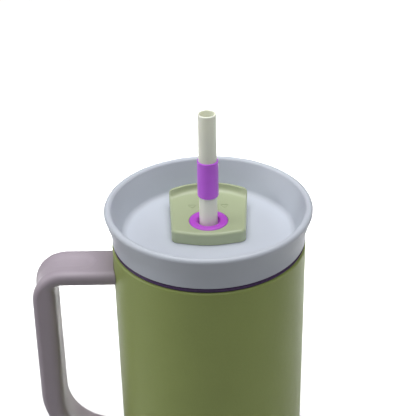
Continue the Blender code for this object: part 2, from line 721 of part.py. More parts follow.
def make_plug_cover(look):
    """The coloured cover, with a raised back edge for a fingertip and a seat for the grommet."""
    loops = [[(x, y, PLUG_BOTTOM) for x, y in plug_outline()]]
    for i in range(3):
        angle = math.radians(45 * i)
        inset = PLUG_EDGE_ROUND * (1 - math.cos(angle))
        sink = PLUG_EDGE_ROUND * (1 - math.sin(angle))
        ring = plug_outline(inset)
        loops.append([(x, y, tab_height(x, y) - sink) for x, y in ring])
    rim = plug_outline(PLUG_EDGE_ROUND)
    middle = Vector((0, (PLUG_FRONT + PLUG_BACK_RADIUS) / 2))
    for share in COVER_RINGS:
        ring = [middle + (Vector(point) - middle) * share for point in rim]
        loops.append([(x, y, tab_height(x, y)) for x, y in ring])
    cover = stacked("plug_cover", loops, look)
    hollow = plug_outline(COVER_WALL)
    cut(cover, prism("cover_hollow", hollow, PLUG_BOTTOM - OVERCUT, PLUG_TOP - COVER_TOP))
    cut(cover, pillar("grommet_seat", (0, 0), GROMMET_RADIUS + GROMMET_FLANGE + FACE_GAP,
                      PLUG_TOP - GROMMET_RECESS, PLUG_TOP + OVERCUT))
    cut(cover, pillar("grommet_hole", (0, 0), BOSS_BORE, PLUG_BOTTOM, PLUG_TOP + OVERCUT))
    return cover


def make_plug_stem(look):
    """The plug's lower half: a plate inside the cover, a hollow stem and a boss round the grommet."""
    plate_top = PLUG_BOTTOM + STEM_PLATE
    stem = prism("plug_stem", plug_outline(COVER_WALL + FACE_GAP), PLUG_BOTTOM, plate_top, look)
    outline = opening_outline(STEM_CLEARANCE)
    join(stem, prism("stem_walls", outline, STEM_BOTTOM, PLUG_BOTTOM + STEM_PLATE / 2))
    cut(stem, prism("stem_hollow", opening_outline(STEM_CLEARANCE + STEM_WALL), STEM_BOTTOM - OVERCUT,
                    PLUG_BOTTOM))
    boss_top = PLUG_TOP - COVER_TOP - FACE_GAP
    join(stem, pillar("grommet_boss", (0, 0), BOSS_RADIUS, STEM_BOTTOM, boss_top))
    groove_top = CUP_HEIGHT - STEM_GROOVE_DROP + STEM_GASKET_HEIGHT + 2 * FACE_GAP
    outside = prism("groove_outside", opening_outline(-OVERCUT), CUP_HEIGHT - STEM_GROOVE_DROP, groove_top)
    kept = prism("groove_kept", opening_outline(STEM_CLEARANCE + STEM_GROOVE),
                 CUP_HEIGHT - STEM_GROOVE_DROP - OVERCUT, groove_top + OVERCUT)
    cut(outside, kept)
    cut(stem, outside)
    cut(stem, pillar("grommet_bore", (0, 0), BOSS_BORE, STEM_BOTTOM - OVERCUT, boss_top + OVERCUT))
    return stem


def make_plug_gasket(look):
    """The soft ring in the stem's groove that closes the opening."""
    bottom = CUP_HEIGHT - STEM_GROOVE_DROP + FACE_GAP
    top = bottom + STEM_GASKET_HEIGHT
    ring = prism("plug_gasket", opening_outline(FACE_GAP), bottom, top, look)
    cut(ring, prism("ring_hollow", opening_outline(STEM_CLEARANCE + STEM_GROOVE - FACE_GAP),
                    bottom - OVERCUT, top + OVERCUT))
    return ring


def make_grommet(look):
    """The soft ring that grips the straw: a rounded flange on the cover and a neck in the boss."""
    seat = PLUG_TOP - GROMMET_RECESS + FACE_GAP
    crown = PLUG_TOP + GROMMET_RISE
    edge = GROMMET_RADIUS + GROMMET_FLANGE
    mouth = GROMMET_BORE + GROMMET_FUNNEL
    middle = (edge + mouth) / 2
    bottom = PLUG_TOP - GROMMET_LENGTH
    half = (edge - mouth) / 2
    shoulder = PLUG_TOP - FACE_GAP
    crest = [(middle + half * math.cos(a), shoulder + (crown - shoulder) * math.sin(a))
             for a in (math.radians(30 * i) for i in range(7))]
    profile = [(edge, seat)] + crest + [(GROMMET_BORE, PLUG_TOP - GROMMET_FUNNEL_DEPTH),
               (GROMMET_BORE, bottom), (GROMMET_RADIUS, bottom), (GROMMET_RADIUS, seat)]
    return turned("straw_grommet", profile, SMALL_FACETS, look)


# ---------------------------------------------------------------- straw

def make_straw(look):
    """The straw: a tube with a rounded mouthpiece and a slanted lower end."""
    inner = STRAW_RADIUS - STRAW_WALL
    top, bottom = STRAW_TOP, STRAW_BOTTOM
    profile = [(STRAW_RADIUS, bottom), (STRAW_RADIUS, top - STRAW_ROUND), (STRAW_RADIUS - STRAW_ROUND, top),
               (inner + STRAW_ROUND, top), (inner, top - STRAW_ROUND), (inner, bottom)]
    tube = turned("straw_tube", profile, SMALL_FACETS, look)
    reach = 4 * STRAW_RADIUS
    wedge = block("straw_slant", (-reach, -reach, -reach), (reach, reach, 0))
    wedge.matrix_world = (Matrix.Translation((STRAW_RADIUS, 0, bottom))
                          @ Matrix.Rotation(STRAW_TIP_ANGLE, 4, "Y"))
    cut(tube, wedge)
    return tube


def make_sleeve(look):
    """The soft sleeve round the straw above the lid."""
    inner = STRAW_RADIUS + FACE_GAP
    outer = inner + SLEEVE_WALL
    bottom = PLUG_TOP + SLEEVE_RISE
    top = bottom + SLEEVE_LENGTH
    ease = SLEEVE_WALL / 2
    profile = [(inner, bottom), (outer - ease, bottom), (outer, bottom + ease), (outer, top - ease),
               (outer - ease, top), (inner, top)]
    return turned("straw_sleeve", profile, SMALL_FACETS, look)


# ---------------------------------------------------------------- assembly

def clear_scene():
    """Removes whatever objects the file holds."""
    for thing in list(bpy.data.objects):
        bpy.data.objects.remove(thing)


def build_cup():
    """The steel cup, its base and the handle."""
    make_outer_shell(GREEN_COAT)
    make_inner_liner(BARE_STEEL)
    make_liner_floor(BARE_STEEL)
    make_base_pan(BASE_STEEL)
    make_vacuum_seal(SOLDER)
    make_base_pad(PAD_SILICONE)
    make_getter(GETTER_METAL)
    trimmer = cup_cutter("cup_trimmer", FACE_GAP)
    make_handle(trimmer, HANDLE_PLASTIC)
    strip_solid("handle_grip", 0, GRIP_RUBBER)
    for side, middle in arm_heights():
        make_bracket(side, middle, trimmer, BASE_STEEL)
        for place, x, y in screw_places():
            make_screw(side, place, x, y, middle, SCREW_STEEL)


def build_lid():
    """The lid's two halves, its gasket and the plug with the straw."""
    make_lid_shell(LID_PLASTIC)
    make_lid_base(LID_PLASTIC)
    make_lid_gasket(DARK_SILICONE)
    make_plug_cover(PLUG_PLASTIC)
    make_plug_stem(PLUG_PLASTIC)
    make_plug_gasket(DARK_SILICONE)
    make_grommet(VIOLET_SILICONE)
    make_straw(STRAW_PLASTIC)
    make_sleeve(VIOLET_SILICONE)


clear_scene()
build_cup()
build_lid()
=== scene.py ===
"""Looks of an insulated tumbler with a handle, a flared lid, a lift-out plug and a drinking straw.

Units are metres and +Z is up. The tumbler stands on the origin and its handle is on the -X side.
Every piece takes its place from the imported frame, and rides on the frame's body that it belongs to.
"""

import logging
import math
from dataclasses import dataclass, field
from enum import Enum
from functools import cached_property
from typing import Callable, Iterable, Sequence

import bmesh
import bpy
from mathutils import Matrix, Vector


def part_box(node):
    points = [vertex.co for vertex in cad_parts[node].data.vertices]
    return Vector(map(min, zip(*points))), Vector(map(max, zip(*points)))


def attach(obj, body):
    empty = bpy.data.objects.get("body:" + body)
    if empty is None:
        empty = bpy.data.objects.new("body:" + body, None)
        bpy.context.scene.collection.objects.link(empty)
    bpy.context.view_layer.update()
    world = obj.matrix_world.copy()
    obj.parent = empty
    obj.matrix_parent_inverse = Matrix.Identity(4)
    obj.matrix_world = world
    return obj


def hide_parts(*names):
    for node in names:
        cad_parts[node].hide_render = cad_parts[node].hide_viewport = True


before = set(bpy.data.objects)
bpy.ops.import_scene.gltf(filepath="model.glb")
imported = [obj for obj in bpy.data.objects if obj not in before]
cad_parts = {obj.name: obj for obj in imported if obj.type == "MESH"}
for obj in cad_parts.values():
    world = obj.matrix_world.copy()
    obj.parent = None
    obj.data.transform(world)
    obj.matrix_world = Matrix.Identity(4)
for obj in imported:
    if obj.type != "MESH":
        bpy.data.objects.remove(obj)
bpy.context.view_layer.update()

LOG = logging.getLogger("tumbler")

Point2 = tuple[float, float]
Colour = tuple[float, float, float]

# Fineness of the shown meshes
ROUND_FACETS = 192
SMALL_FACETS = 96
ARC_STEP = math.radians(6)
SHARP_ANGLE = math.radians(38)
MERGE_DISTANCE = 1e-7
ROUNDING = 1e-9

# The part of a noise's range that holds nearly all of its values
NOISE_LOW = 0.3
NOISE_HIGH = 0.7

# Clearance between neighbours that touch, and how far a cutter runs past what it cuts
SEAT_GAP = 0.00015
OVERCUT = 0.004


class Body(Enum):
    """The moving bodies of the frame."""

    CUP = "cup"
    LID_SEAL = "lid_seal"
    LID = "lid"
    PLUG = "plug"
    STRAW = "straw"


class Texture(Enum):
    """The kinds of surface that a finish may have."""

    POWDER = "powder coat"
    MOULDED = "moulded plastic"
    SOFT = "silicone"
    BRUSHED = "brushed metal"
    MILKY = "milky plastic"


# ---------------------------------------------------------------- outlines


def arc(centre: Point2, radius: float, start: float, end: float, step: float = ARC_STEP) -> list[Point2]:
    """Points on a circle from one angle to another.

    Args:
        centre: The circle's centre.
        radius: The circle's radius.
        start: The first angle, in radians.
        end: The last angle, in radians.
        step: The largest angle between two points.

    Returns:
        The points, both ends included.
    """
    count = max(1, math.ceil(abs(end - start) / step - ROUNDING))
    angles = [start + (end - start) * i / count for i in range(count + 1)]
    return [(centre[0] + radius * math.cos(a), centre[1] + radius * math.sin(a)) for a in angles]


def rounded(corners: Sequence[tuple[float, float, float]], closed: bool = True,
            step: float = ARC_STEP) -> list[Point2]:
    """An outline whose corners are arcs tangent to both their sides.

    Args:
        corners: The corners as (x, y, radius).
        closed: Whether the last corner joins the first.
        step: The largest angle between two points of an arc.

    Returns:
        The outline's points.
    """
    points: list[Point2] = []
    count = len(corners)
    for i, (x, y, radius) in enumerate(corners):
        if radius == 0 or (not closed and i in (0, count - 1)):
            points.append((x, y))
            continue
        corner = Vector((x, y))
        before = (Vector(corners[i - 1][:2]) - corner).normalized()
        after = (Vector(corners[(i + 1) % count][:2]) - corner).normalized()
        half = before.angle(after) / 2
        centre = corner + (before + after).normalized() * radius / math.sin(half)
        first = corner + before * radius / math.tan(half) - centre
        last = corner + after * radius / math.tan(half) - centre
        start = math.atan2(first.y, first.x)
        turn = (math.atan2(last.y, last.x) - start + math.pi) % math.tau - math.pi
        points += arc(tuple(centre), radius, start, start + turn, step)
    return points


def offset(path: Sequence[Point2], distance: float, closed: bool = False) -> list[Point2]:
    """A path moved sideways, with mitred corners.

    Args:
        path: The path's points.
        distance: How far it moves to its left; a negative distance moves it to its right.
        closed: Whether the last point joins the first.

    Returns:
        The moved points.
    """
    moved: list[Point2] = []
    count = len(path)
    for i, point in enumerate(path):
        here = Vector(point)
        sides = []
        if closed or i > 0:
            sides.append((here - Vector(path[i - 1])).normalized())
        if closed or i < count - 1:
            sides.append((Vector(path[(i + 1) % count]) - here).normalized())
        normals = [Vector((-side.y, side.x)) for side in sides]
        mean = (normals[0] + normals[-1]).normalized()
        moved.append(tuple(here + mean * distance / mean.dot(normals[0])))
    return moved


def crossing(above: Point2, below: Point2, height: float) -> Point2:
    """The point at a height on the straight run between two points.

    Args:
        above: The run's upper end.
        below: The run's lower end.
        height: The height that is looked for.

    Returns:
        The point.
    """
    share = (above[1] - height) / (above[1] - below[1])
    return (above[0] + (below[0] - above[0]) * share, height)


def above_height(path: Sequence[Point2], height: float) -> list[Point2]:
    """The part of a falling path above a height.

    Args:
        path: The path's points.
        height: The height that it ends at.

    Returns:
        The points, the last of them exactly at the height.
    """
    kept = [point for point in path if point[1] > height]
    return kept + [crossing(path[len(kept) - 1], path[len(kept)], height)]


def below_height(path: Sequence[Point2], height: float) -> list[Point2]:
    """The part of a falling path below a height.

    Args:
        path: The path's points.
        height: The height that it starts at.

    Returns:
        The points, the first of them exactly at the height.
    """
    kept = [point for point in path if point[1] < height]
    first = len(path) - len(kept)
    return [crossing(path[first - 1], path[first], height)] + kept


def smooth_step(share: float) -> float:
    """An even rise from 0 to 1 with a level start and end."""
    share = min(max(share, 0.0), 1.0)
    return share * share * (3 - 2 * share)


def spaced(low: float, high: float, count: int) -> list[float]:
    """Evenly spaced values from low to high, both included."""
    return [low + (high - low) * i / count for i in range(count + 1)]


# ---------------------------------------------------------------- meshes


class Shaper:
    """Makes the shown meshes, from outlines and rings."""

    @staticmethod
    def close(name: str, builder: bmesh.types.BMesh) -> bpy.types.Object:
        """Turns a bmesh into an object whose faces look outwards.

        Args:
            name: The object's name.
            builder: The bmesh, which is freed.

        Returns:
            The new object.
        """
        bmesh.ops.remove_doubles(builder, verts=builder.verts, dist=MERGE_DISTANCE)
        bmesh.ops.recalc_face_normals(builder, faces=builder.faces)
        if builder.calc_volume(signed=True) < 0:
            bmesh.ops.reverse_faces(builder, faces=builder.faces)
        mesh = bpy.data.meshes.new(name)
        builder.to_mesh(mesh)
        builder.free()
        thing = bpy.data.objects.new(name, mesh)
        bpy.context.scene.collection.objects.link(thing)
        return thing

    @classmethod
    def turned(cls, name: str, profile: Sequence[Point2], facets: int = ROUND_FACETS) -> bpy.types.Object:
        """A solid of revolution about Z.

        Args:
            name: The object's name.
            profile: The closed section as (radius, height) points.
            facets: How many steps make the full turn.

        Returns:
            The new object.
        """
        builder = bmesh.new()
        ring = [builder.verts.new((r, 0, z)) for r, z in profile]
        edges = [builder.edges.new((ring[i - 1], ring[i])) for i in range(len(ring))
                 if max(profile[i - 1][0], profile[i][0]) > ROUNDING]
        bmesh.ops.spin(builder, geom=ring + edges, axis=(0, 0, 1), cent=(0, 0, 0),
                       angle=math.tau, steps=facets, use_merge=True)
        return cls.close(name, builder)

    @classmethod
    def skinned(cls, name: str, loops: Sequence[Sequence[Sequence[float]]]) -> bpy.types.Object:
        """A solid skinned over closed loops, with a fan of triangles over both ends.

        Args:
            name: The object's name.
            loops: The loops in order, which all hold the same number of points.

        Returns:
            The new object.
        """
        builder = bmesh.new()
        rings = [[builder.verts.new(point) for point in loop] for loop in loops]
        for low, high in zip(rings, rings[1:]):
            for i in range(len(low)):
                builder.faces.new((low[i - 1], low[i], high[i], high[i - 1]))
        for ring in (rings[0], rings[-1]):
            middle = sum((vert.co for vert in ring), Vector()) / len(ring)
            hub = builder.verts.new(middle)
            for i in range(len(ring)):
                builder.faces.new((ring[i - 1], ring[i], hub))
        return cls.close(name, builder)

    @classmethod
    def prism(cls, name: str, outline: Sequence[Point2], bottom: float, top: float,
              edge: float = 0.0) -> bpy.types.Object:
        """An outline in plan raised from one height to another.

        Args:
            name: The object's name.
            outline: The plan, counter-clockwise.
            bottom: The lower height.
            top: The upper height.
            edge: The radius of its rounded edges, or 0 for square ones.

        Returns:
            The new object.
        """
        steps = [(0.0, bottom), (0.0, top)]
        if edge:
            quarter = [math.radians(15 * i) for i in range(7)]
            low = [(edge * (1 - math.sin(a)), bottom + edge * (1 - math.cos(a))) for a in quarter]
            high = [(edge * (1 - math.cos(a)), top - edge * (1 - math.sin(a))) for a in quarter]
            steps = low + high
        return cls.skinned(name, [[(x, y, z) for x, y in offset(outline, inset, closed=True)]
                                  for inset, z in steps])

    @classmethod
    def block(cls, name: str, low: Sequence[float], high: Sequence[float]) -> bpy.types.Object:
        """A box between two opposite corners, for cutting."""
        plan = [(low[0], low[1]), (high[0], low[1]), (high[0], high[1]), (low[0], high[1])]
        return cls.prism(name, plan, low[2], high[2])

    @classmethod
    def pillar(cls, name: str, place: Point2, radius: float, bottom: float, top: float) -> bpy.types.Object:
        """An upright cylinder, for cutting or joining."""
        outline = arc(place, radius, 0, math.tau, math.tau / SMALL_FACETS)[:-1]
        return cls.prism(name, outline, bottom, top)

    @staticmethod
    def worked(piece: bpy.types.Object, tools: Iterable[bpy.types.Object],
               operation: str = "DIFFERENCE") -> bpy.types.Object:
        """Applies Booleans to a piece and removes the tools.

        Args:
            piece: The piece that is cut or added to.
            tools: The objects that cut it or are added to it.
            operation: The Boolean's operation.

        Returns:
            The same piece, with its new mesh.
        """
        tools = list(tools)
        for tool in tools:
            modifier = piece.modifiers.new(tool.name, "BOOLEAN")
            modifier.object = tool
            modifier.operation = operation
            modifier.solver = "EXACT"
        graph = bpy.context.evaluated_depsgraph_get()
        mesh = bpy.data.meshes.new_from_object(piece.evaluated_get(graph))
        mesh.name = piece.name
        piece.modifiers.clear()
        piece.data = mesh
        for tool in tools:
            bpy.data.objects.remove(tool)
        return piece


# ---------------------------------------------------------------- finishes


class NodeSheet:
    """A material's node tree while it is being drawn up."""

    def __init__(self, name: str) -> None:
        """Starts a material with its Principled shader.

        Args:
            name: The material's name.
        """
        self.material = bpy.data.materials.new(name)
        self.material.use_nodes = True
        self.tree = self.material.node_tree
        self.shader = self.tree.nodes["Principled BSDF"]
        self.place = self.add("ShaderNodeTexCoord").outputs["Object"]

    def add(self, kind: str, **settings: object) -> bpy.types.Node:
        """Adds a node and sets its properties.

        Args:
            kind: The node's type name.
            **settings: The node's own properties and their values.

        Returns:
            The node.
        """
        node = self.tree.nodes.new(kind)
        for key, value in settings.items():
            setattr(node, key, value)
        return node

    def join(self, source: bpy.types.NodeSocket, target: bpy.types.NodeSocket) -> None:
        """Links an output to an input."""
        self.tree.links.new(source, target)

    def fix(self, **values: float | Colour) -> None:
        """Sets the shader's own sockets.

        Args:
            **values: The values by socket name, with underscores for spaces.
        """
        for key, value in values.items():
            self.shader.inputs[key.replace("_", " ")].default_value = value

    def maths(self, operation: str, first: bpy.types.NodeSocket,
              second: bpy.types.NodeSocket | float) -> bpy.types.NodeSocket:
        """One sum on a value.

        Args:
            operation: The sum's name.
            first: The value's socket.
            second: The other term, a socket or a number.

        Returns:
            The result's socket.
        """
        node = self.add("ShaderNodeMath", operation=operation)
        self.join(first, node.inputs[0])
        if isinstance(second, (int, float)):
            node.inputs[1].default_value = second
        else:
            self.join(second, node.inputs[1])
        return node.outputs[0]

    def mixed(self, first: bpy.types.NodeSocket, second: bpy.types.NodeSocket,
              share: float) -> bpy.types.NodeSocket:
        """Two patterns added in shares that make one whole.

        Args:
            first: The one pattern.
            second: The other pattern.
            share: How much of the sum is the first.

        Returns:
            The sum's socket.
        """
        return self.maths("ADD", self.maths("MULTIPLY", first, share),
                          self.maths("MULTIPLY", second, 1 - share))

    def noise(self, size: float, detail: float = 2.0, place: bpy.types.NodeSocket | None = None,
              wander: float = 0.5) -> bpy.types.NodeSocket:
        """A cloud of noise from 0 to 1.

        Args:
            size: How far apart its lumps are, in the units of the coordinates.
            detail: How many finer layers it has.
            place: The coordinates, or None for the object's own.
            wander: How strong the finer layers are.

        Returns:
            The noise's socket.
        """
        node = self.add("ShaderNodeTexNoise")
        self.join(place or self.place, node.inputs["Vector"])
        node.inputs["Scale"].default_value = 1 / size
        node.inputs["Detail"].default_value = detail
        node.inputs["Roughness"].default_value = wander
        return node.outputs["Fac"]

    def spread(self, source: bpy.types.NodeSocket, low: float, high: float) -> bpy.types.NodeSocket:
        """The middle of a noise's range stretched over other values.

        Args:
            source: The noise.
            low: The value at the noise's dark end.
            high: The value at its light end.

        Returns:
            The stretched value's socket.
        """
        node = self.add("ShaderNodeMapRange")
        self.join(source, node.inputs["Value"])
        for key, value in (("From Min", NOISE_LOW), ("From Max", NOISE_HIGH), ("To Min", low),
                           ("To Max", high)):
            node.inputs[key].default_value = value
        return node.outputs["Result"]

    def tint(self, factor: bpy.types.NodeSocket, dark: Colour, light: Colour) -> bpy.types.NodeSocket:
        """A colour between two others.

        Args:
            factor: Which one, from 0 to 1.
            dark: The colour at 0.
            light: The colour at 1.

        Returns:
            The colour's socket.
        """
        node = self.add("ShaderNodeMix", data_type="RGBA")
        self.join(factor, node.inputs["Factor"])
        colours = [socket for socket in node.inputs if socket.type == "RGBA"]
        colours[0].default_value = (*dark, 1)
        colours[1].default_value = (*light, 1)
        return next(socket for socket in node.outputs if socket.type == "RGBA")

    def relief(self, height: bpy.types.NodeSocket, depth: float,
               under: bpy.types.NodeSocket | None = None) -> bpy.types.NodeSocket:
        """A bump on the surface.

        Args:
            height: The pattern, from 0 to 1.
            depth: Its height in metres.
            under: The normal that it lies on, or None.

        Returns:
            The new normal's socket.
        """
        node = self.add("ShaderNodeBump")
        node.inputs["Distance"].default_value = depth
        self.join(height, node.inputs["Height"])
        if under is not None:
            self.join(under, node.inputs["Normal"])
        return node.outputs["Normal"]

    def rings(self, fine: float, coarse: float) -> bpy.types.NodeSocket:
        """Coordinates whose noise runs in lines round the Z axis.

        Args:
            fine: How many units the section's own directions are stretched by.
            coarse: How many units the direction round the axis is stretched by.

        Returns:
            The coordinates' socket.
        """
        parts = self.add("ShaderNodeSeparateXYZ")
        self.join(self.place, parts.inputs[0])
        flat = self.add("ShaderNodeCombineXYZ")
        self.join(parts.outputs["X"], flat.inputs["X"])
        self.join(parts.outputs["Y"], flat.inputs["Y"])
        length = self.add("ShaderNodeVectorMath", operation="LENGTH")
        self.join(flat.outputs[0], length.inputs[0])
        made = self.add("ShaderNodeCombineXYZ")
        radial = self.maths("MULTIPLY", length.outputs["Value"], fine)
        drift = self.maths("MULTIPLY", parts.outputs["X"], coarse)
        self.join(self.maths("ADD", radial, drift), made.inputs["X"])
        self.join(self.maths("MULTIPLY", parts.outputs["Y"], coarse), made.inputs["Y"])
        self.join(self.maths("MULTIPLY", parts.outputs["Z"], fine), made.inputs["Z"])
        return made.outputs[0]


# The slow patterns in the finishes, and how deep light goes into milky plastic
POWDER_CLOUDS = 0.03
FLOW_MARKS = 0.018
SILICONE_MOTTLE = 0.004
METAL_CLOUDS = 0.02
BRUSH_DRIFT = 18.0
STREAK_SQUEEZE = 0.04
SCATTER_DEPTH = 0.004
SCATTER_REACH = (1.0, 1.0, 0.8)


@dataclass(frozen=True)
class Finish:
    """One finish: its colour, how it shines and how its surface is grained."""

    name: str
    texture: Texture
    colour: Colour
    roughness: float
    grain: float = 0.0004
    depth: float = 0.00002
    shade: float = 0.05
    metallic: float = 0.0
    sheen: float = 0.0
    scatter: float = 0.0
    reflectance: float = 0.5

    def shaded(self, share: float) -> Colour:
        """The finish's colour made lighter or darker by a share."""
        return tuple(min(channel * (1 + share), 1.0) for channel in self.colour)

    def material(self) -> bpy.types.Material:
        """The finish as a procedural material, made once.

        Returns:
            The material.
        """
        title = f"{self.name}_look"
        made = bpy.data.materials.get(title)
        if made:
            return made
        sheet = NodeSheet(title)
        sheet.fix(Metallic=self.metallic, Sheen_Weight=self.sheen, Subsurface_Weight=self.scatter,
                  Specular_IOR_Level=self.reflectance)
        if self.scatter:
            sheet.fix(Subsurface_Scale=SCATTER_DEPTH, Subsurface_Radius=SCATTER_REACH)
        painters: dict[Texture, Callable[[NodeSheet], None]] = {
            Texture.POWDER: self.powder, Texture.MOULDED: self.moulded, Texture.SOFT: self.soft,
            Texture.BRUSHED: self.brushed, Texture.MILKY: self.milky,
        }
        painters[self.texture](sheet)
        sheet.material.diffuse_color = (*self.colour, 1)
        return sheet.material

    def coloured(self, sheet: NodeSheet, pattern: bpy.types.NodeSocket) -> None:
        """Colours the shader between a darker and a lighter shade by a pattern."""
        tint = sheet.tint(sheet.spread(pattern, 0.0, 1.0), self.shaded(-self.shade), self.shaded(self.shade))
        sheet.join(tint, sheet.shader.inputs["Base Color"])

    def roughened(self, sheet: NodeSheet, pattern: bpy.types.NodeSocket, swing: float) -> None:
        """Lets a pattern swing the roughness about its middle value."""
        rough = sheet.spread(pattern, self.roughness - swing, self.roughness + swing)
        sheet.join(rough, sheet.shader.inputs["Roughness"])

    def embossed(self, sheet: NodeSheet, pattern: bpy.types.NodeSocket,
                 under: bpy.types.NodeSocket | None = None) -> None:
        """Raises a pattern on the surface by the finish's depth."""
        sheet.join(sheet.relief(pattern, self.depth, under), sheet.shader.inputs["Normal"])

    def powder(self, sheet: NodeSheet) -> None:
        """Powder coat: a fine pebbled skin over slow waves, with specks lighter and darker.

        Args:
            sheet: The material that is drawn up.
        """
        pebbles = sheet.noise(self.grain, 3.0, wander=0.6)
        waves = sheet.noise(self.grain * 8, 1.0)
        clouds = sheet.noise(POWDER_CLOUDS, 2.0)
        self.coloured(sheet, sheet.mixed(pebbles, clouds, 0.75))
        self.roughened(sheet, pebbles, 0.06)
        self.embossed(sheet, pebbles, sheet.relief(waves, self.depth * 2))

    def moulded(self, sheet: NodeSheet) -> None:
        """Moulded plastic: a fine spark-eroded grain with slow flow marks in its gloss.

        Args:
            sheet: The material that is drawn up.
        """
        grain = sheet.noise(self.grain, 2.0, wander=0.55)
        flow = sheet.noise(FLOW_MARKS, 3.0)
        self.coloured(sheet, sheet.mixed(grain, flow, 0.4))
        self.roughened(sheet, flow, 0.04)
        self.embossed(sheet, grain)

    def soft(self, sheet: NodeSheet) -> None:
        """Silicone: a dusty, faintly mottled skin.

        Args:
            sheet: The material that is drawn up.
        """
        skin = sheet.noise(self.grain, 3.0, wander=0.7)
        mottle = sheet.noise(SILICONE_MOTTLE, 4.0)
        self.coloured(sheet, mottle)
        self.roughened(sheet, mottle, 0.08)
        self.embossed(sheet, skin)

    def brushed(self, sheet: NodeSheet) -> None:
        """Brushed metal: fine lines round the axis, with cloudy patches.

        Args:
            sheet: The material that is drawn up.
        """
        lines = sheet.noise(1.0, 3.0, sheet.rings(1 / self.grain, BRUSH_DRIFT), 0.65)
        clouds = sheet.noise(METAL_CLOUDS, 3.0)
        self.coloured(sheet, lines)
        self.roughened(sheet, sheet.mixed(lines, clouds, 0.7), 0.09)
        self.embossed(sheet, lines)

    def milky(self, sheet: NodeSheet) -> None:
        """Milky plastic: drawn lines along the tube and faint streaks in its colour.

        Args:
            sheet: The material that is drawn up.
        """
        mapping = sheet.add("ShaderNodeMapping")
        mapping.inputs["Scale"].default_value = (1.0, 1.0, STREAK_SQUEEZE)
        sheet.join(sheet.place, mapping.inputs["Vector"])
        streaks = sheet.noise(self.grain * 3, 3.0, mapping.outputs[0])
        self.coloured(sheet, streaks)
        self.roughened(sheet, streaks, 0.05)
        self.embossed(sheet, streaks)


@dataclass(frozen=True)
class Palette:
    """Every finish of the tumbler."""

    shell_coat: Finish = Finish("shell_coat", Texture.POWDER, (0.300, 0.365, 0.104), 0.46,
                                grain=0.00045, depth=0.00003, shade=0.07, reflectance=0.5)
    liner_steel: Finish = Finish("liner_steel", Texture.BRUSHED, (0.62, 0.62, 0.60), 0.30,
                                 grain=0.00016, depth=0.000006, shade=0.05, metallic=1.0)
    base_steel: Finish = Finish("base_steel", Texture.BRUSHED, (0.58, 0.58, 0.57), 0.36,
                                grain=0.0002, depth=0.000006, shade=0.05, metallic=1.0)
    solder: Finish = Finish("seal_solder", Texture.SOFT, (0.45, 0.45, 0.44), 0.5,
                            grain=0.0006, depth=0.00004, shade=0.12, metallic=1.0)
    getter_metal: Finish = Finish("getter_metal", Texture.BRUSHED, (0.35, 0.35, 0.36), 0.5,
                                  grain=0.0002, depth=0.000008, shade=0.08, metallic=1.0)
    bracket_steel: Finish = Finish("bracket_steel", Texture.BRUSHED, (0.55, 0.55, 0.55), 0.42,
                                   grain=0.0002, depth=0.000006, shade=0.06, metallic=1.0)
    screw_steel: Finish = Finish("screw_steel", Texture.BRUSHED, (0.50, 0.50, 0.51), 0.34,
                                 grain=0.00012, depth=0.000004, shade=0.06, metallic=1.0)
    base_silicone: Finish = Finish("base_silicone", Texture.SOFT, (0.30, 0.27, 0.29), 0.72,
                                   grain=0.0005, depth=0.00002, sheen=0.15)
    handle_plastic: Finish = Finish("handle_plastic", Texture.MOULDED, (0.365, 0.315, 0.365), 0.46,
                                    grain=0.00035, depth=0.00001, shade=0.03)
    grip_rubber: Finish = Finish("grip_rubber", Texture.SOFT, (0.365, 0.315, 0.365), 0.52,
                                 grain=0.0004, depth=0.000012, shade=0.03, sheen=0.1)
    gasket_silicone: Finish = Finish("gasket_silicone", Texture.SOFT, (0.045, 0.009, 0.085), 0.42,
                                     grain=0.0003, depth=0.000008, shade=0.1, sheen=0.1)
    lid_plastic: Finish = Finish("lid_plastic", Texture.MOULDED, (0.510, 0.545, 0.610), 0.42,
                                 grain=0.0004, depth=0.000008, shade=0.02)
    plug_plastic: Finish = Finish("plug_plastic", Texture.MOULDED, (0.395, 0.450, 0.290), 0.24,
                                  grain=0.0004, depth=0.000001, shade=0.012)
    stem_plastic: Finish = Finish("stem_plastic", Texture.MOULDED, (0.380, 0.430, 0.285), 0.44,
                                  grain=0.0004, depth=0.000008, shade=0.03)
    grommet_silicone: Finish = Finish("grommet_silicone", Texture.SOFT, (0.46, 0.068, 0.60), 0.40,
                                      grain=0.0004, depth=0.000003, shade=0.03, sheen=0.1)
    sleeve_silicone: Finish = Finish("sleeve_silicone", Texture.SOFT, (0.64, 0.138, 0.90), 0.44,
                                     grain=0.0004, depth=0.000003, shade=0.03, sheen=0.1)
    straw_plastic: Finish = Finish("straw_plastic", Texture.MILKY, (0.965, 0.99, 0.81), 0.34,
                                   grain=0.0006, depth=0.000006, shade=0.01, scatter=0.35)
    floor_paper: Finish = Finish("floor_paper", Texture.MOULDED, (0.50, 0.50, 0.50), 0.9,
                                 grain=0.0012, depth=0.00001, shade=0.004, reflectance=0.1)


PALETTE = Palette()


# ---------------------------------------------------------------- placing


def dress(piece: bpy.types.Object, finish: Finish, body: Body, slot: str, *nodes: str) -> bpy.types.Object:
    """Gives a new piece its shading, finish and body.

    Args:
        piece: The piece, in place.
        finish: The finish that it takes.
        body: The body that it rides on.
        slot: The record's material slot; not used.
        *nodes: The frame's nodes that it stands for.

    Returns:
        The same piece.
    """
    piece.data.shade_smooth()
    piece.data.set_sharp_from_angle(angle=SHARP_ANGLE)
    even = piece.modifiers.new("even_shading", "WEIGHTED_NORMAL")
    even.keep_sharp = True
    piece.data.materials.clear()
    piece.data.materials.append(finish.material())
    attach(piece, body.value)
    if nodes:
        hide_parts(*nodes)
    LOG.info("%s: %d faces, %s, on %s", piece.name, len(piece.data.polygons), finish.name, body.value)
    return piece


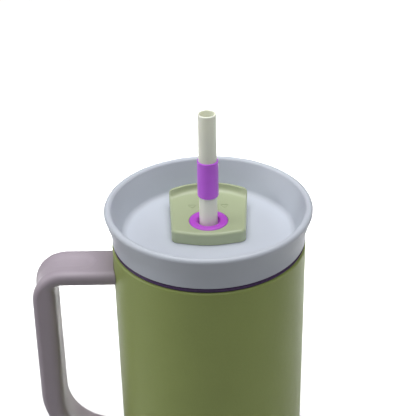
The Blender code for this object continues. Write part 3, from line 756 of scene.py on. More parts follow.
def repaint(node: str, finish: Finish) -> None:
    """Gives a node that stays its finish.

    Args:
        node: The frame's node.
        finish: The finish that it takes.
    """
    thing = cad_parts[node]
    thing.data.materials.clear()
    thing.data.materials.append(finish.material())
    LOG.info("%s: kept, %s", node, finish.name)


def footprint(node: str) -> tuple[Point2, float]:
    """Where an upright round node stands, and its radius.

    Args:
        node: The frame's node.

    Returns:
        Its middle in plan, and its radius.
    """
    low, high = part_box(node)
    return ((low.x + high.x) / 2, (low.y + high.y) / 2), (high.x - low.x) / 2


def edge_of(node: str) -> float:
    """The largest radius that a round node reaches."""
    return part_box(node)[1].x


def bottom_of(node: str) -> float:
    """A node's lowest height."""
    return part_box(node)[0].z


def top_of(node: str) -> float:
    """A node's highest height."""
    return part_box(node)[1].z


# ---------------------------------------------------------------- cup


@dataclass
class Cup:
    """The steel cup: painted outer wall, bare liner, pressed base and the pad that it stands on."""

    height: float = field(default_factory=lambda: top_of("outer_shell"))
    radius: float = field(default_factory=lambda: edge_of("outer_shell"))
    foot_lift: float = field(default_factory=lambda: bottom_of("outer_shell"))
    taper: float = 0.0008
    lip_round: float = 0.0014
    shoulder_top: float = 0.0860
    shoulder_angle: float = math.radians(40)
    shoulder_bend: float = 0.0140
    foot_radius: float = 0.0382
    foot_taper: float = 0.0010
    foot_round: float = 0.0030
    outer_wall: float = 0.0006
    vacuum_gap: float = 0.0022
    liner_wall: float = 0.0005
    liner_round: float = 0.0090
    liner_floor: float = 0.0085
    weld_width: float = 0.0007
    weld_rise: float = 0.00012
    pan_wall: float = 0.0006
    pan_dimple: float = 0.0052
    pan_dimple_rise: float = 0.0012
    port_radius: float = 0.0012
    pad_round: float = 0.0007
    pad_groove: float = 0.0004
    pad_groove_width: float = 0.0011
    pad_groove_radii: tuple[float, ...] = (0.0085, 0.0145, 0.0205, 0.0265)
    bead_steps: int = 8

    def side(self, inward: float = 0.0) -> list[Point2]:
        """The cup's side from just under the lip down to the foot's corner.

        Args:
            inward: How far inside the outer face it lies.

        Returns:
            The path's points, falling.
        """
        bend = self.shoulder_bend
        waist = self.radius - self.taper
        step_in = waist - self.foot_radius
        straight = step_in - 2 * bend * (1 - math.cos(self.shoulder_angle))
        straight /= math.sin(self.shoulder_angle)
        drop = 2 * bend * math.sin(self.shoulder_angle) + straight * math.cos(self.shoulder_angle)
        path = [(self.radius, self.height - self.lip_round)]
        path += arc((waist - bend, self.shoulder_top), bend, 0, -self.shoulder_angle)
        path += arc((self.foot_radius + bend, self.shoulder_top - drop), bend,
                    math.pi - self.shoulder_angle, math.pi)
        path.append((self.foot_radius - self.foot_taper, self.foot_lift + self.foot_round))
        return offset(path, -inward)

    def radius_at(self, height: float) -> float:
        """The outer radius at a height above the shoulder.

        Args:
            height: The height.

        Returns:
            The radius there.
        """
        top = self.height - self.lip_round
        share = (top - height) / (top - self.shoulder_top)
        return self.radius - self.taper * share

    def lip_arc(self, inset: float) -> list[Point2]:
        """The rounded lip, from its top to its outside, moved inwards."""
        centre = (self.radius - self.lip_round, self.height - self.lip_round)
        return arc(centre, self.lip_round - inset, math.pi / 2, 0)[:-1]

    def foot_arc(self, inset: float) -> list[Point2]:
        """The rounded foot, from its outside to its underside, moved inwards."""
        centre = (self.foot_radius - self.foot_taper - self.foot_round, self.foot_lift + self.foot_round)
        return arc(centre, self.foot_round - inset, 0, -math.pi / 2)[1:]

    def build_shell(self) -> None:
        """The painted outer wall, open at the mouth and at the foot."""
        edge = edge_of("base_pan") + SEAT_GAP
        outside = self.lip_arc(0) + self.side() + self.foot_arc(0) + [(edge, self.foot_lift)]
        inside = self.lip_arc(self.outer_wall) + self.side(self.outer_wall)
        inside += self.foot_arc(self.outer_wall) + [(edge, self.foot_lift + self.outer_wall)]
        shell = Shaper.turned("cup_shell", outside + inside[::-1])
        dress(shell, PALETTE.shell_coat, Body.CUP, "shell_coat", "outer_shell")

    def liner_face(self, inward: float, corner: float) -> list[Point2]:
        """One face of the liner: side, bottom corner and floor.

        Args:
            inward: How far inside the cup's outer face it lies.
            corner: The radius of its bottom corner.

        Returns:
            The path's points, ended on the axis.
        """
        floor = self.liner_floor - (corner - self.liner_round)
        side = above_height(self.side(inward), floor + corner)
        centre = (side[-1][0] - corner, floor + corner)
        return side + arc(centre, corner, 0, -math.pi / 2)[1:] + [(0, floor)]

    def build_liner(self) -> None:
        """The bare steel inner cup, turned out at the mouth to meet the lip, with its weld bead."""
        outer_face = self.outer_wall + self.vacuum_gap
        inner_face = outer_face + self.liner_wall
        mouth = self.radius - inner_face
        edge = self.radius - self.lip_round - SEAT_GAP
        bend = edge - self.weld_width - mouth
        start = self.height - self.weld_rise - bend
        inside = below_height(self.liner_face(inner_face, self.liner_round), start)
        centre = (inside[0][0] + bend, start)
        inside = arc(centre, bend, math.pi / 2, math.pi)[:-1] + inside
        outside = below_height(self.liner_face(outer_face, self.liner_round + self.liner_wall), start)
        outside = arc(centre, bend - self.liner_wall, math.pi / 2, math.pi)[:-1] + outside
        half = self.weld_width / 2
        bead = [(edge - half + half * math.cos(a), start + bend + self.weld_rise * math.sin(a))
                for a in spaced(0, math.pi, self.bead_steps)]
        outside.insert(0, (edge, start + bend - self.liner_wall))
        liner = Shaper.turned("cup_liner", outside[::-1] + bead + inside)
        dress(liner, PALETTE.liner_steel, Body.CUP, "liner_steel", "inner_liner", "liner_floor")

    def build_pan(self) -> None:
        """The pressed disc that closes the foot, with a dimple round its port."""
        edge = edge_of("base_pan")
        low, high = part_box("base_pan")[0].z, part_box("base_pan")[1].z
        top = high - self.pan_dimple_rise
        wall, dimple = self.pan_wall, self.pan_dimple
        outer = rounded([(edge, low, 0), (edge, top, wall), (dimple + wall, top, wall),
                         (dimple - wall / 2, high, wall / 2), (self.port_radius, high, 0)], closed=False)
        inner = rounded([(self.port_radius, high - wall, 0), (dimple - wall, high - wall, wall / 2),
                         (dimple + wall / 2, top - wall, wall / 2), (edge - wall, top - wall, wall / 2),
                         (edge - wall, low, 0)], closed=False)
        pan = Shaper.turned("foot_pan", outer + inner)
        dress(pan, PALETTE.base_steel, Body.CUP, "base_steel", "base_pan")

    def build_pad(self) -> None:
        """The soft pad that the tumbler stands on, with ring grooves in its sole."""
        low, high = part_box("base_pad")
        edge, bottom, top = high.x, low.z, high.z
        half = self.pad_groove_width / 2
        sole: list[Point2] = [(0, bottom)]
        for radius in self.pad_groove_radii:
            sole += [(radius + half * math.cos(a), bottom + self.pad_groove * math.sin(a))
                     for a in spaced(math.pi, 0, self.bead_steps)]
        corner = arc((edge - self.pad_round, bottom + self.pad_round), self.pad_round, -math.pi / 2, 0)
        upper = arc((edge - self.pad_round / 2, top - self.pad_round / 2), self.pad_round / 2, 0, math.pi / 2)
        pad = Shaper.turned("foot_pad", sole + corner + upper + [(0, top)])
        dress(pad, PALETTE.base_silicone, Body.CUP, "base_silicone", "base_pad")

    def build(self) -> None:
        """Makes and dresses every piece of the cup."""
        self.build_shell()
        self.build_liner()
        self.build_pan()
        self.build_pad()
        repaint("vacuum_seal", PALETTE.solder)
        repaint("getter_capsule", PALETTE.getter_metal)


# ---------------------------------------------------------------- handle


@dataclass(frozen=True)
class Station:
    """One cross-section of the handle's strap, in the XZ plane."""

    outer: Vector
    inner: Vector
    outward: Vector
    travelled: float


@dataclass
class Handle:
    """The moulded strap handle, its let-in grip strip, and the screws that hold it."""

    cup: Cup
    low: Vector = field(default_factory=lambda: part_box("handle_frame")[0])
    high: Vector = field(default_factory=lambda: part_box("handle_frame")[1])
    grip_low: Vector = field(default_factory=lambda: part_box("handle_grip")[0])
    grip_high: Vector = field(default_factory=lambda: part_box("handle_grip")[1])
    outer_round: float = 0.0035
    inner_round: float = 0.0054
    grip_thickness: float = 0.0123
    upper_arm: float = 0.0090
    lower_arm: float = 0.0100
    outer_top_bend: float = 0.0180
    outer_low_bend: float = 0.0445
    inner_top_bend: float = 0.0030
    inner_low_bend: float = 0.0280
    root_reach: float = 0.0060
    wall_gap: float = 0.00025
    channel_margin: float = 0.0015
    channel_ease: float = 0.0062
    channel_depth: float = 0.0010
    strip_thickness: float = 0.0020
    strip_edge: float = 0.00002
    strip_gap: float = 0.00004
    tongue_width: float = 0.0150
    tongue_thickness: float = 0.0030
    pocket_gap: float = 0.0003
    foot_depth: float = 0.0020
    screw_radius: float = 0.0014
    screw_head_height: float = 0.0012
    screw_slot: float = 0.0008
    thread_turns: int = 8
    thread_root: float = 0.86
    thread_flanks: Point2 = (0.2, 0.55)
    thread_tip: float = 0.8
    arm_steps: int = 16
    top_bend_steps: int = 24
    grip_steps: int = 30
    low_bend_steps: int = 30
    face_steps: int = 44
    inside_steps: int = 8
    strip_steps: int = 20
    strip_sole_steps: int = 4
    strip_end_steps: int = 10
    strip_tip: float = 0.12
    strip_spacing: float = 0.0005
    sides: tuple[str, ...] = ("upper", "lower")

    def wall_x(self, height: float) -> float:
        """Where the handle meets the cup's wall at a height, as a negative X."""
        return -(self.cup.radius_at(height) + self.wall_gap)

    def stations(self) -> list[Station]:
        """The strap's cross-sections from the upper root round to the lower root.

        Returns:
            The stations in order; the first and the last lie at the cup's wall.
        """
        top, bottom = self.high.z, self.low.z
        outer, inner = self.low.x, self.low.x + self.grip_thickness
        arm, sole = top - self.upper_arm, bottom + self.lower_arm
        root = -(self.cup.radius + self.root_reach)
        big, small, wide, slim = (self.outer_top_bend, self.inner_top_bend,
                                  self.outer_low_bend, self.inner_low_bend)
        pairs: list[tuple[Point2, Point2, Point2]] = []

        def straight(start: tuple[Point2, Point2], end: tuple[Point2, Point2], out: Point2,
                     count: int) -> None:
            """Adds sections along a straight run.

            Args:
                start: The outer and the inner point at its start.
                end: The outer and the inner point at its end.
                out: The outward direction.
                count: How many steps it has.
            """
            for share in spaced(0, 1, count):
                pairs.append((tuple(Vector(start[0]).lerp(Vector(end[0]), share)),
                              tuple(Vector(start[1]).lerp(Vector(end[1]), share)), out))

        def bend(centre: Point2, radius: float, hollow: Point2, tight: float, start: float,
                 count: int) -> None:
            """Adds sections round a quarter bend, as far as the root.

            Args:
                centre: The outer face's centre.
                radius: The outer face's radius.
                hollow: The inner face's centre.
                tight: The inner face's radius.
                start: The angle that it starts at.
                count: How many steps it has.
            """
            for angle in spaced(start, start + math.pi / 2, count):
                out = (math.cos(angle), math.sin(angle))
                far = (centre[0] + radius * out[0], centre[1] + radius * out[1])
                if far[0] < root:
                    pairs.append((far, (hollow[0] + tight * out[0], hollow[1] + tight * out[1]), out))

        wall = self.wall_x(top)
        pairs.append(((wall, top), (wall, arm), (0, 1)))
        straight(((root, top), (root, arm)), ((outer + big, top), (inner + small, arm)), (0, 1),
                 self.arm_steps)
        bend((outer + big, top - big), big, (inner + small, arm - small), small, math.pi / 2,
             self.top_bend_steps)
        straight(((outer, top - big), (inner, arm - small)), ((outer, bottom + wide), (inner, sole + slim)),
                 (-1, 0), self.grip_steps)
        bend((outer + wide, bottom + wide), wide, (inner + slim, sole + slim), slim, math.pi,
             self.low_bend_steps)
        wall = self.wall_x(bottom)
        short = max(outer + wide - wall, 0.0)
        heel = bottom + wide - math.sqrt(wide ** 2 - short ** 2)
        pairs.append(((wall, heel), (wall, sole), (0, -1)))
        kept: list[Station] = []
        travelled = 0.0
        for out_point, in_point, out in pairs:
            here = Vector(out_point)
            if kept:
                step = (here - kept[-1].outer).length
                if step < MERGE_DISTANCE:
                    continue
                travelled += step
            kept.append(Station(here, Vector(in_point), Vector(out), travelled))
        return kept

    def strip_run(self, stations: Sequence[Station]) -> tuple[float, float]:
        """How far along the outer face the grip strip starts and ends.

        Args:
            stations: The strap's cross-sections.

        Returns:
            The two distances.
        """
        start = stations[0].outer.x - self.grip_high.x
        straight = next(s for s in stations if s.outward.x < -0.999)
        return start, straight.travelled + straight.outer.y - self.grip_low.z

    def sink(self, run: tuple[float, float], along: float, across: float) -> float:
        """How deep the soft channel is at a point of the outer face.

        Args:
            run: Where the strip starts and ends along the face.
            along: The point's distance along the face.
            across: The point's Y.

        Returns:
            The depth under the strap's plain face.
        """
        half = self.grip_high.y + self.channel_margin
        start, end = run[0] - self.channel_margin + half, run[1] + self.channel_margin - half
        beyond = max(start - along, along - end, 0.0)
        reach = math.hypot(beyond, across)
        return self.channel_depth * smooth_step((half - reach) / self.channel_ease)

    def section(self, station: Station, run: tuple[float, float]) -> list[Vector]:
        """One closed cross-section of the strap.

        Args:
            station: Where the section lies.
            run: Where the strip starts and ends along the face.

        Returns:
            The section's points in space.
        """
        across = station.outer - station.inner
        thick = across.length
        across.normalize()
        half, edge = self.high.y, self.outer_round
        soft = min(self.inner_round, thick - edge)
        flat, sole = half - edge, half - soft
        outline = [(y, thick) for y in spaced(-flat, flat, self.face_steps)]
        outline += arc((flat, thick - edge), edge, math.pi / 2, 0, ARC_STEP * 2)[1:]
        outline += arc((sole, soft), soft, 0, -math.pi / 2, ARC_STEP * 2)
        outline += [(y, 0.0) for y in spaced(sole, -sole, self.inside_steps)][1:]
        outline += arc((-sole, soft), soft, -math.pi / 2, -math.pi, ARC_STEP * 2)[1:]
        outline += arc((-flat, thick - edge), edge, math.pi, math.pi / 2, ARC_STEP * 2)[:-1]
        points = []
        for y, rise in outline:
            place = station.inner + across * rise
            if rise > thick - MERGE_DISTANCE:
                place -= station.outward * self.sink(run, station.travelled, y)
            points.append(Vector((place.x, y, place.y)))
        return points

    def rooted(self, loop: Sequence[Vector]) -> list[Vector]:
        """An end section moved onto the cup's round wall.

        Args:
            loop: The section's points.

        Returns:
            The moved points.
        """
        moved = []
        for point in loop:
            reach = self.cup.radius_at(point.z) + self.wall_gap
            moved.append(Vector((-math.sqrt(reach ** 2 - point.y ** 2), point.y, point.z)))
        return moved

    def strip(self, name: str, stations: Sequence[Station], grow: float) -> bpy.types.Object:
        """The grip strip, or the cutter of its recess.

        Args:
            name: The object's name.
            stations: The strap's cross-sections.
            grow: The clearance that a cutter adds, or 0 for the strip itself.

        Returns:
            The new object.
        """
        run = self.strip_run(stations)
        half = self.grip_high.y
        start, end = run[0] - grow, run[1] + grow
        swept = [(half + grow) * (1 - math.cos(a))
                 for a in spaced(self.strip_tip, math.pi / 2, self.strip_end_steps)]
        places = [start + reach for reach in swept]
        places += [s.travelled for s in stations
                   if places[-1] + self.strip_spacing < s.travelled < end - swept[-1] - self.strip_spacing]
        places += [end - reach for reach in reversed(swept)]
        loops = []
        for along in places:
            spot, out = self.face_point(stations, along)
            near = min(along - start, end - along)
            reach = min(near, half + grow)
            width = math.sqrt((half + grow) ** 2 - (half + grow - reach) ** 2)
            upper = []
            for share in spaced(-1, 1, self.strip_steps):
                y = width * share
                lift = OVERCUT if grow else -self.sink(run, along, y)
                if not grow and abs(share) == 1:
                    lift -= self.strip_edge
                upper.append(Vector((spot.x + out.x * lift, y, spot.y + out.y * lift)))
            deep = -(self.strip_thickness + grow)
            lower = [Vector((spot.x + out.x * deep, y, spot.y + out.y * deep))
                     for y in spaced(width, -width, self.strip_sole_steps)]
            loops.append(upper + lower)
        return Shaper.skinned(name, loops)

    @staticmethod
    def face_point(stations: Sequence[Station], along: float) -> tuple[Vector, Vector]:
        """A place on the middle of the outer face.

        Args:
            stations: The strap's cross-sections.
            along: How far along the face it lies.

        Returns:
            The point and the outward direction there, both in the XZ plane.
        """
        after = next(i for i, s in enumerate(stations) if s.travelled >= along)
        first, last = stations[after - 1], stations[after]
        share = (along - first.travelled) / (last.travelled - first.travelled)
        return first.outer.lerp(last.outer, share), first.outward.lerp(last.outward, share).normalized()

    def screw_nodes(self) -> list[str]:
        """The frame's screws."""
        return sorted(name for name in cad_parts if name.startswith("handle_screw_"))

    def pocket_tools(self) -> list[bpy.types.Object]:
        """The cutters of the brackets' pockets and of the screws' holes.

        Returns:
            The cutters.
        """
        tools = []
        grow = self.pocket_gap
        for side in self.sides:
            low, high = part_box(f"handle_bracket_{side}")
            middle = (low.z + high.z) / 2
            half_width, half_thick = self.tongue_width / 2 + grow, self.tongue_thickness / 2 + grow
            wall = high.x + OVERCUT
            tools.append(Shaper.block(f"tongue_pocket_{side}",
                                      (low.x - grow, -half_width, middle - half_thick),
                                      (wall, half_width, middle + half_thick)))
            foot_reach = -(self.cup.radius + self.foot_depth + grow)
            tools.append(Shaper.block(f"foot_pocket_{side}", (foot_reach, low.y - grow, low.z - grow),
                                      (wall, high.y + grow, high.z + grow)))
        for name in self.screw_nodes():
            low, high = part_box(name)
            place, head = footprint(name)
            tools.append(Shaper.pillar(f"{name}_sink", place, head + grow, low.z - OVERCUT,
                                       low.z + self.screw_head_height + grow))
            tools.append(Shaper.pillar(f"{name}_bore", place, self.screw_radius + grow, low.z, high.z + grow))
        return tools

    def build_frame(self, stations: Sequence[Station]) -> None:
        """The strap, hollowed for its strip, brackets and screws.

        Args:
            stations: The strap's cross-sections.
        """
        run = self.strip_run(stations)
        loops = [self.section(station, run) for station in stations]
        loops[0], loops[-1] = self.rooted(loops[0]), self.rooted(loops[-1])
        strap = Shaper.skinned("handle_strap", loops)
        Shaper.worked(strap, [self.strip("strip_recess", stations, self.strip_gap)] + self.pocket_tools())
        dress(strap, PALETTE.handle_plastic, Body.CUP, "handle_plastic", "handle_frame")

    def build_screw(self, node: str) -> None:
        """A slotted screw with a chamfered head.

        Args:
            node: The frame's screw that it stands for.
        """
        low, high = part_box(node)
        (x, y), head = footprint(node)
        neck = low.z + self.screw_head_height
        chamfer = self.screw_head_height / 4
        core = self.screw_radius
        profile = [(0, low.z), (head - chamfer, low.z), (head, low.z + chamfer), (head, neck - chamfer),
                   (head - chamfer, neck), (core, neck)]
        pitch = (high.z - neck) / self.thread_turns
        low_flank, high_flank = self.thread_flanks
        for turn in range(self.thread_turns):
            foot = neck + turn * pitch
            profile += [(core * self.thread_root, foot + pitch * low_flank),
                        (core, foot + pitch * high_flank)]
        profile += [(core * self.thread_tip, high.z), (0, high.z)]
        screw = Shaper.turned(f"{node}_fine", profile, SMALL_FACETS)
        screw.data.transform(Matrix.Translation((x, y, 0)))
        half = self.screw_slot / 2
        slot = Shaper.block("slot", (x - 2 * head, y - half, low.z - OVERCUT),
                            (x + 2 * head, y + half, low.z + self.screw_head_height / 2))
        Shaper.worked(screw, [slot])
        dress(screw, PALETTE.screw_steel, Body.CUP, "screw_steel", node)

    def build(self) -> None:
        """Makes and dresses every piece of the handle."""
        stations = self.stations()
        self.build_frame(stations)
        strip = self.strip("handle_inlay", stations, 0)
        dress(strip, PALETTE.grip_rubber, Body.CUP, "grip_rubber", "handle_grip")
        for node in self.screw_nodes():
            self.build_screw(node)
        for side in self.sides:
            repaint(f"handle_bracket_{side}", PALETTE.bracket_steel)


# ---------------------------------------------------------------- lid


@dataclass
class Lid:
    """The flared dish, its hollow base and the gasket between them and the cup."""

    cup: Cup
    bottom: float = field(default_factory=lambda: bottom_of("lid_shell"))
    top: float = field(default_factory=lambda: top_of("lid_shell"))
    inset: float = 0.00025
    bottom_edge: float = 0.0005
    flare_start: float = 0.0007
    flare_bend: float = 0.0300
    flare_angle: float = math.radians(18)
    rim_round: float = 0.0020
    dish_angle: float = math.radians(19)
    dish_floor: float = 0.0021
    dish_round: float = 0.0034
    opening_round: float = 0.0090
    opening_gap: float = 0.0003
    base_wall: float = 0.0016
    base_edge: float = 0.0005
    base_hollow_round: float = 0.0012
    bead_height: float = 0.0018
    bead_reach: float = 0.0014
    bead_edge: float = 0.0004
    bead_root: float = 0.0001
    gasket_wall: float = 0.0009
    rib_reach: float = 0.0004
    rib_swell: float = 1.3
    fin_thickness: float = 0.0007
    fin_drops: tuple[float, ...] = (0.0045, 0.0090)

    @property
    def floor(self) -> float:
        """The height of the dish's floor."""
        return self.bottom + self.dish_floor

    def dish_profile(self) -> list[Point2]:
        """The dish's closed section: flared outside, round rim, sloping inside, floor and underside.

        Returns:
            The section's points.
        """
        waist = self.cup.radius - self.inset
        angle, bend, rim = self.flare_angle, self.flare_bend, self.rim_round
        start = self.bottom + self.flare_start
        flare = arc((waist + bend, start), bend, math.pi, math.pi - angle, ARC_STEP / 3)
        centre = (edge_of("lid_shell") - rim, self.top - rim)
        crest = arc(centre, rim, -angle, math.pi - self.dish_angle, ARC_STEP * 2)
        foot = crest[-1][0] - (crest[-1][1] - self.floor) * math.tan(self.dish_angle)
        inside = rounded([(*crest[-1], 0), (foot, self.floor, self.dish_round), (0, self.floor, 0)],
                         closed=False)
        low = arc((waist - self.bottom_edge, self.bottom + self.bottom_edge), self.bottom_edge,
                  -math.pi / 2, 0, ARC_STEP * 3)
        return low + flare + crest + inside[1:] + [(0, self.bottom)]

    def opening(self, inset: float = 0.0) -> list[Point2]:
        """The plan of the opening that the plug fills.

        Args:
            inset: How much smaller it is made all round.

        Returns:
            The plan's points.
        """
        low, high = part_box("plug_gasket")
        gap, turn = self.opening_gap, self.opening_round
        corners = [(high.x + gap, low.y - gap, turn), (high.x + gap, high.y + gap, turn),
                   (low.x - gap, high.y + gap, turn), (low.x - gap, low.y - gap, turn)]
        return offset(rounded(corners), inset, closed=True)

    def build_dish(self) -> None:
        """The dish that forms the lid's top, open where the plug goes."""
        dish = Shaper.turned("lid_dish", self.dish_profile())
        cutter = Shaper.prism("dish_opening", self.opening(), self.bottom - OVERCUT, self.floor + OVERCUT)
        Shaper.worked(dish, [cutter])
        dress(dish, PALETTE.lid_plastic, Body.LID, "lid_plastic", "lid_shell")

    def build_base(self) -> None:
        """The hollow lower half of the lid, with a tunnel round the plug's opening."""
        low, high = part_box("lid_base")
        radius, bottom, top = high.x - self.bead_reach, low.z, high.z
        wall, bead, tip = self.base_wall, self.bead_height, high.x
        outer = rounded([(0, bottom, 0), (tip, bottom, self.base_edge), (tip, bottom + bead, self.bead_edge),
                         (radius, bottom + bead, self.bead_root), (radius, top, 0)], closed=False)
        inner = rounded([(radius - wall, top, 0), (radius - wall, bottom + wall, self.base_hollow_round),
                         (0, bottom + wall, 0)], closed=False)
        base = Shaper.turned("lid_skirt", outer + inner)
        tunnel = Shaper.prism("tunnel_wall", self.opening(-wall), bottom + wall / 2, top)
        Shaper.worked(base, [tunnel], "UNION")
        bore = Shaper.prism("tunnel_bore", self.opening(), bottom - OVERCUT, top + OVERCUT)
        Shaper.worked(base, [bore])
        dress(base, PALETTE.lid_plastic, Body.LID, "lid_plastic", "lid_base")

    def build_gasket(self) -> None:
        """The soft ring on the cup's lip: a ribbed flange, and a sleeve with two wiping fins."""
        low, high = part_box("lid_gasket")
        edge = high.x - self.rib_reach
        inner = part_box("lid_base")[1].x - self.bead_reach + 2 * SEAT_GAP
        sleeve = inner + self.gasket_wall
        mouth = self.cup.radius - self.cup.outer_wall - self.cup.vacuum_gap - self.cup.liner_wall
        seat = self.cup.height + 2 * SEAT_GAP
        middle = (seat + high.z) / 2
        profile = [(inner, high.z), (inner, low.z), (sleeve, low.z)]
        for drop in reversed(self.fin_drops):
            height = self.cup.height - drop
            tip = mouth - 2 * SEAT_GAP
            half = self.fin_thickness / 2
            profile += [(sleeve, height - 2 * half), (tip - half, height - half), (tip, height),
                        (tip - half, height + half), (sleeve, height + half)]
        soft = self.rib_reach
        profile += rounded([(sleeve, seat, 0), (edge, seat, soft / 2), (edge, middle - soft, soft / 2),
                            (edge + soft * self.rib_swell, middle, soft / 2), (edge, middle + soft, soft / 2),
                            (edge, high.z, soft / 2), (inner, high.z, 0)], closed=False)[:-1]
        gasket = Shaper.turned("lid_ring", profile)
        dress(gasket, PALETTE.gasket_silicone, Body.LID_SEAL, "gasket_silicone", "lid_gasket")

    def build(self) -> None:
        """Makes and dresses every piece of the lid."""
        self.build_dish()
        self.build_base()
        self.build_gasket()


# ---------------------------------------------------------------- plug


@dataclass
class Plug:
    """The lift-out plug: a cover with a fingertip edge, its stem and seal, and the straw's grommet."""

    lid: Lid
    low: Vector = field(default_factory=lambda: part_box("plug_cover")[0])
    high: Vector = field(default_factory=lambda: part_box("plug_cover")[1])
    front_bend: float = 0.0400
    front_point: float = -0.0148
    front_corner: Point2 = (0.0192, -0.0103)
    back_corner: Point2 = (0.0211, 0.02785)
    corner_round: float = 0.0040
    back_angle: float = math.radians(32)
    edge_round: float = 0.0015
    tab_rise: float = 0.0037
    tab_foot: float = 0.0280
    tab_sweep: float = 0.0042
    wall: float = 0.0018
    roof: float = 0.0022
    plate: float = 0.0016
    stem_gap: float = 0.0008
    stem_wall: float = 0.0020
    groove: float = 0.0009
    grommet_recess: float = 0.0013
    boss_wall: float = 0.0021
    boss_lift: float = 0.0001
    ring_edge: float = 0.0004
    grommet_flange: float = 0.0026
    grommet_edge: float = 0.0003
    grommet_crown: float = 0.8
    straw_fit: float = 0.00035
    funnel: float = 0.00085
    mark_place: Point2 = (0.0086, 0.0152)
    mark_half: float = 0.0019
    mark_length: float = 0.0026
    mark_bar: float = 0.0006
    mark_rise: float = 0.00022
    ring_count: int = 46
    hub_share: float = 0.05
    edge_steps: int = 8
    crest_steps: int = 28
    funnel_steps: int = 10
    outline_step: float = 0.0008

    @property
    def top(self) -> float:
        """The height of the cover's flat top."""
        return self.high.z - self.tab_rise

    def outline(self, inset: float = 0.0) -> list[Point2]:
        """The cover's plan: curved front, slightly flaring sides and a back that follows the rim.

        Args:
            inset: How much smaller it is made all round.

        Returns:
            The plan's points.
        """
        (front_x, front_y), (back_x, back_y) = self.front_corner, self.back_corner
        back = self.high.y
        turn = self.corner_round
        corners = [(0, self.front_point, self.front_bend), (front_x, front_y, turn), (back_x, back_y, turn),
                   (0, back / math.cos(self.back_angle), back), (-back_x, back_y, turn),
                   (-front_x, front_y, turn)]
        return offset(rounded(corners, step=ARC_STEP / 4), inset, closed=True)

    def surface(self, x: float, y: float) -> float:
        """The cover's top: flat, then swept up in a hollow curve towards the back edge.

        Args:
            x: The place's X.
            y: The place's Y.

        Returns:
            The height there.
        """
        reach = math.hypot(x, y) - self.tab_foot
        along = min(max(reach, 0.0), self.tab_sweep) if y > 0 else 0.0
        return self.top + self.tab_rise * (1 - math.sqrt(1 - (along / self.tab_sweep) ** 2))

    @cached_property
    def plan(self) -> list[Point2]:
        """The cover's plan with its long straight runs divided.

        Returns:
            The plan's points.
        """
        points: list[Point2] = []
        outline = self.outline()
        for i, point in enumerate(outline):
            before = Vector(outline[i - 1])
            gap = (Vector(point) - before).length
            pieces = round(gap / self.outline_step) if gap > 2 * self.outline_step else 1
            points += [tuple(before.lerp(Vector(point), share)) for share in spaced(0, 1, pieces)[1:]]
        return points

    def mark_tools(self) -> list[bpy.types.Object]:
        """Two raised marks on the cover, each a triangle with a bar behind it.

        Returns:
            The marks' solids.
        """
        tools = []
        x, y = self.mark_place
        bottom, top = self.top - self.mark_rise, self.top + self.mark_rise
        for side in (-1, 1):
            middle = side * x
            triangle = [(middle, y - self.mark_length), (middle + self.mark_half, y),
                        (middle - self.mark_half, y)]
            tools.append(Shaper.prism(f"mark_{side}", triangle, bottom, top))
            bar_low, bar_high = y + self.mark_bar, y + 2 * self.mark_bar
            tools.append(Shaper.block(f"bar_{side}", (middle - self.mark_half, bar_low, bottom),
                                      (middle + self.mark_half, bar_high, top)))
        return tools

    def build_cover(self) -> None:
        """The coloured cover with rounded edges, a raised back edge and a seat for the grommet."""
        base = self.plan
        loops = [[(x, y, self.low.z) for x, y in base]]
        for angle in spaced(0, math.pi / 2, self.edge_steps):
            inset = self.edge_round * (1 - math.cos(angle))
            drop = self.edge_round * (1 - math.sin(angle))
            ring = [self.drawn_in(point, inset) for point in base]
            loops.append([(x, y, self.surface(x, y) - drop) for x, y in ring])
        rim = [Vector(self.drawn_in(point, self.edge_round)) for point in base]
        middle = Vector((0, (self.low.y + self.high.y) / 2))
        for share in spaced(1, self.hub_share, self.ring_count)[1:]:
            ring = [middle + (point - middle) * share for point in rim]
            loops.append([(x, y, self.surface(x, y)) for x, y in ring])
        cover = Shaper.skinned("plug_top", loops)
        Shaper.worked(cover, self.mark_tools(), "UNION")
        seat = edge_of("straw_grommet") + SEAT_GAP
        neck = self.grommet_radius() + SEAT_GAP
        tools = [
            Shaper.prism("cover_hollow", self.outline(self.wall), self.low.z - OVERCUT, self.top - self.roof),
            Shaper.pillar("grommet_seat", (0, 0), seat, self.top - self.grommet_recess, self.top + OVERCUT),
            Shaper.pillar("grommet_hole", (0, 0), neck, self.low.z, self.top + OVERCUT),
        ]
        Shaper.worked(cover, tools)
        dress(cover, PALETTE.plug_plastic, Body.PLUG, "plug_plastic", "plug_cover")

    def drawn_in(self, point: Point2, inset: float) -> Point2:
        """A point of the plan moved straight inwards from the nearest edge.

        Args:
            point: A point on the plan's outline.
            inset: How far it moves.

        Returns:
            The moved point.
        """
        place = Vector(point)
        outline = [Vector(p) for p in self.plan]
        nearest = min(range(len(outline)), key=lambda i: (outline[i] - place).length_squared)
        side = outline[(nearest + 1) % len(outline)] - outline[nearest - 1]
        inward = Vector((-side.y, side.x)).normalized()
        return tuple(place + inward * inset)

    def grommet_radius(self) -> float:
        """The radius of the grommet's neck."""
        return edge_of("straw_grommet") - self.grommet_flange

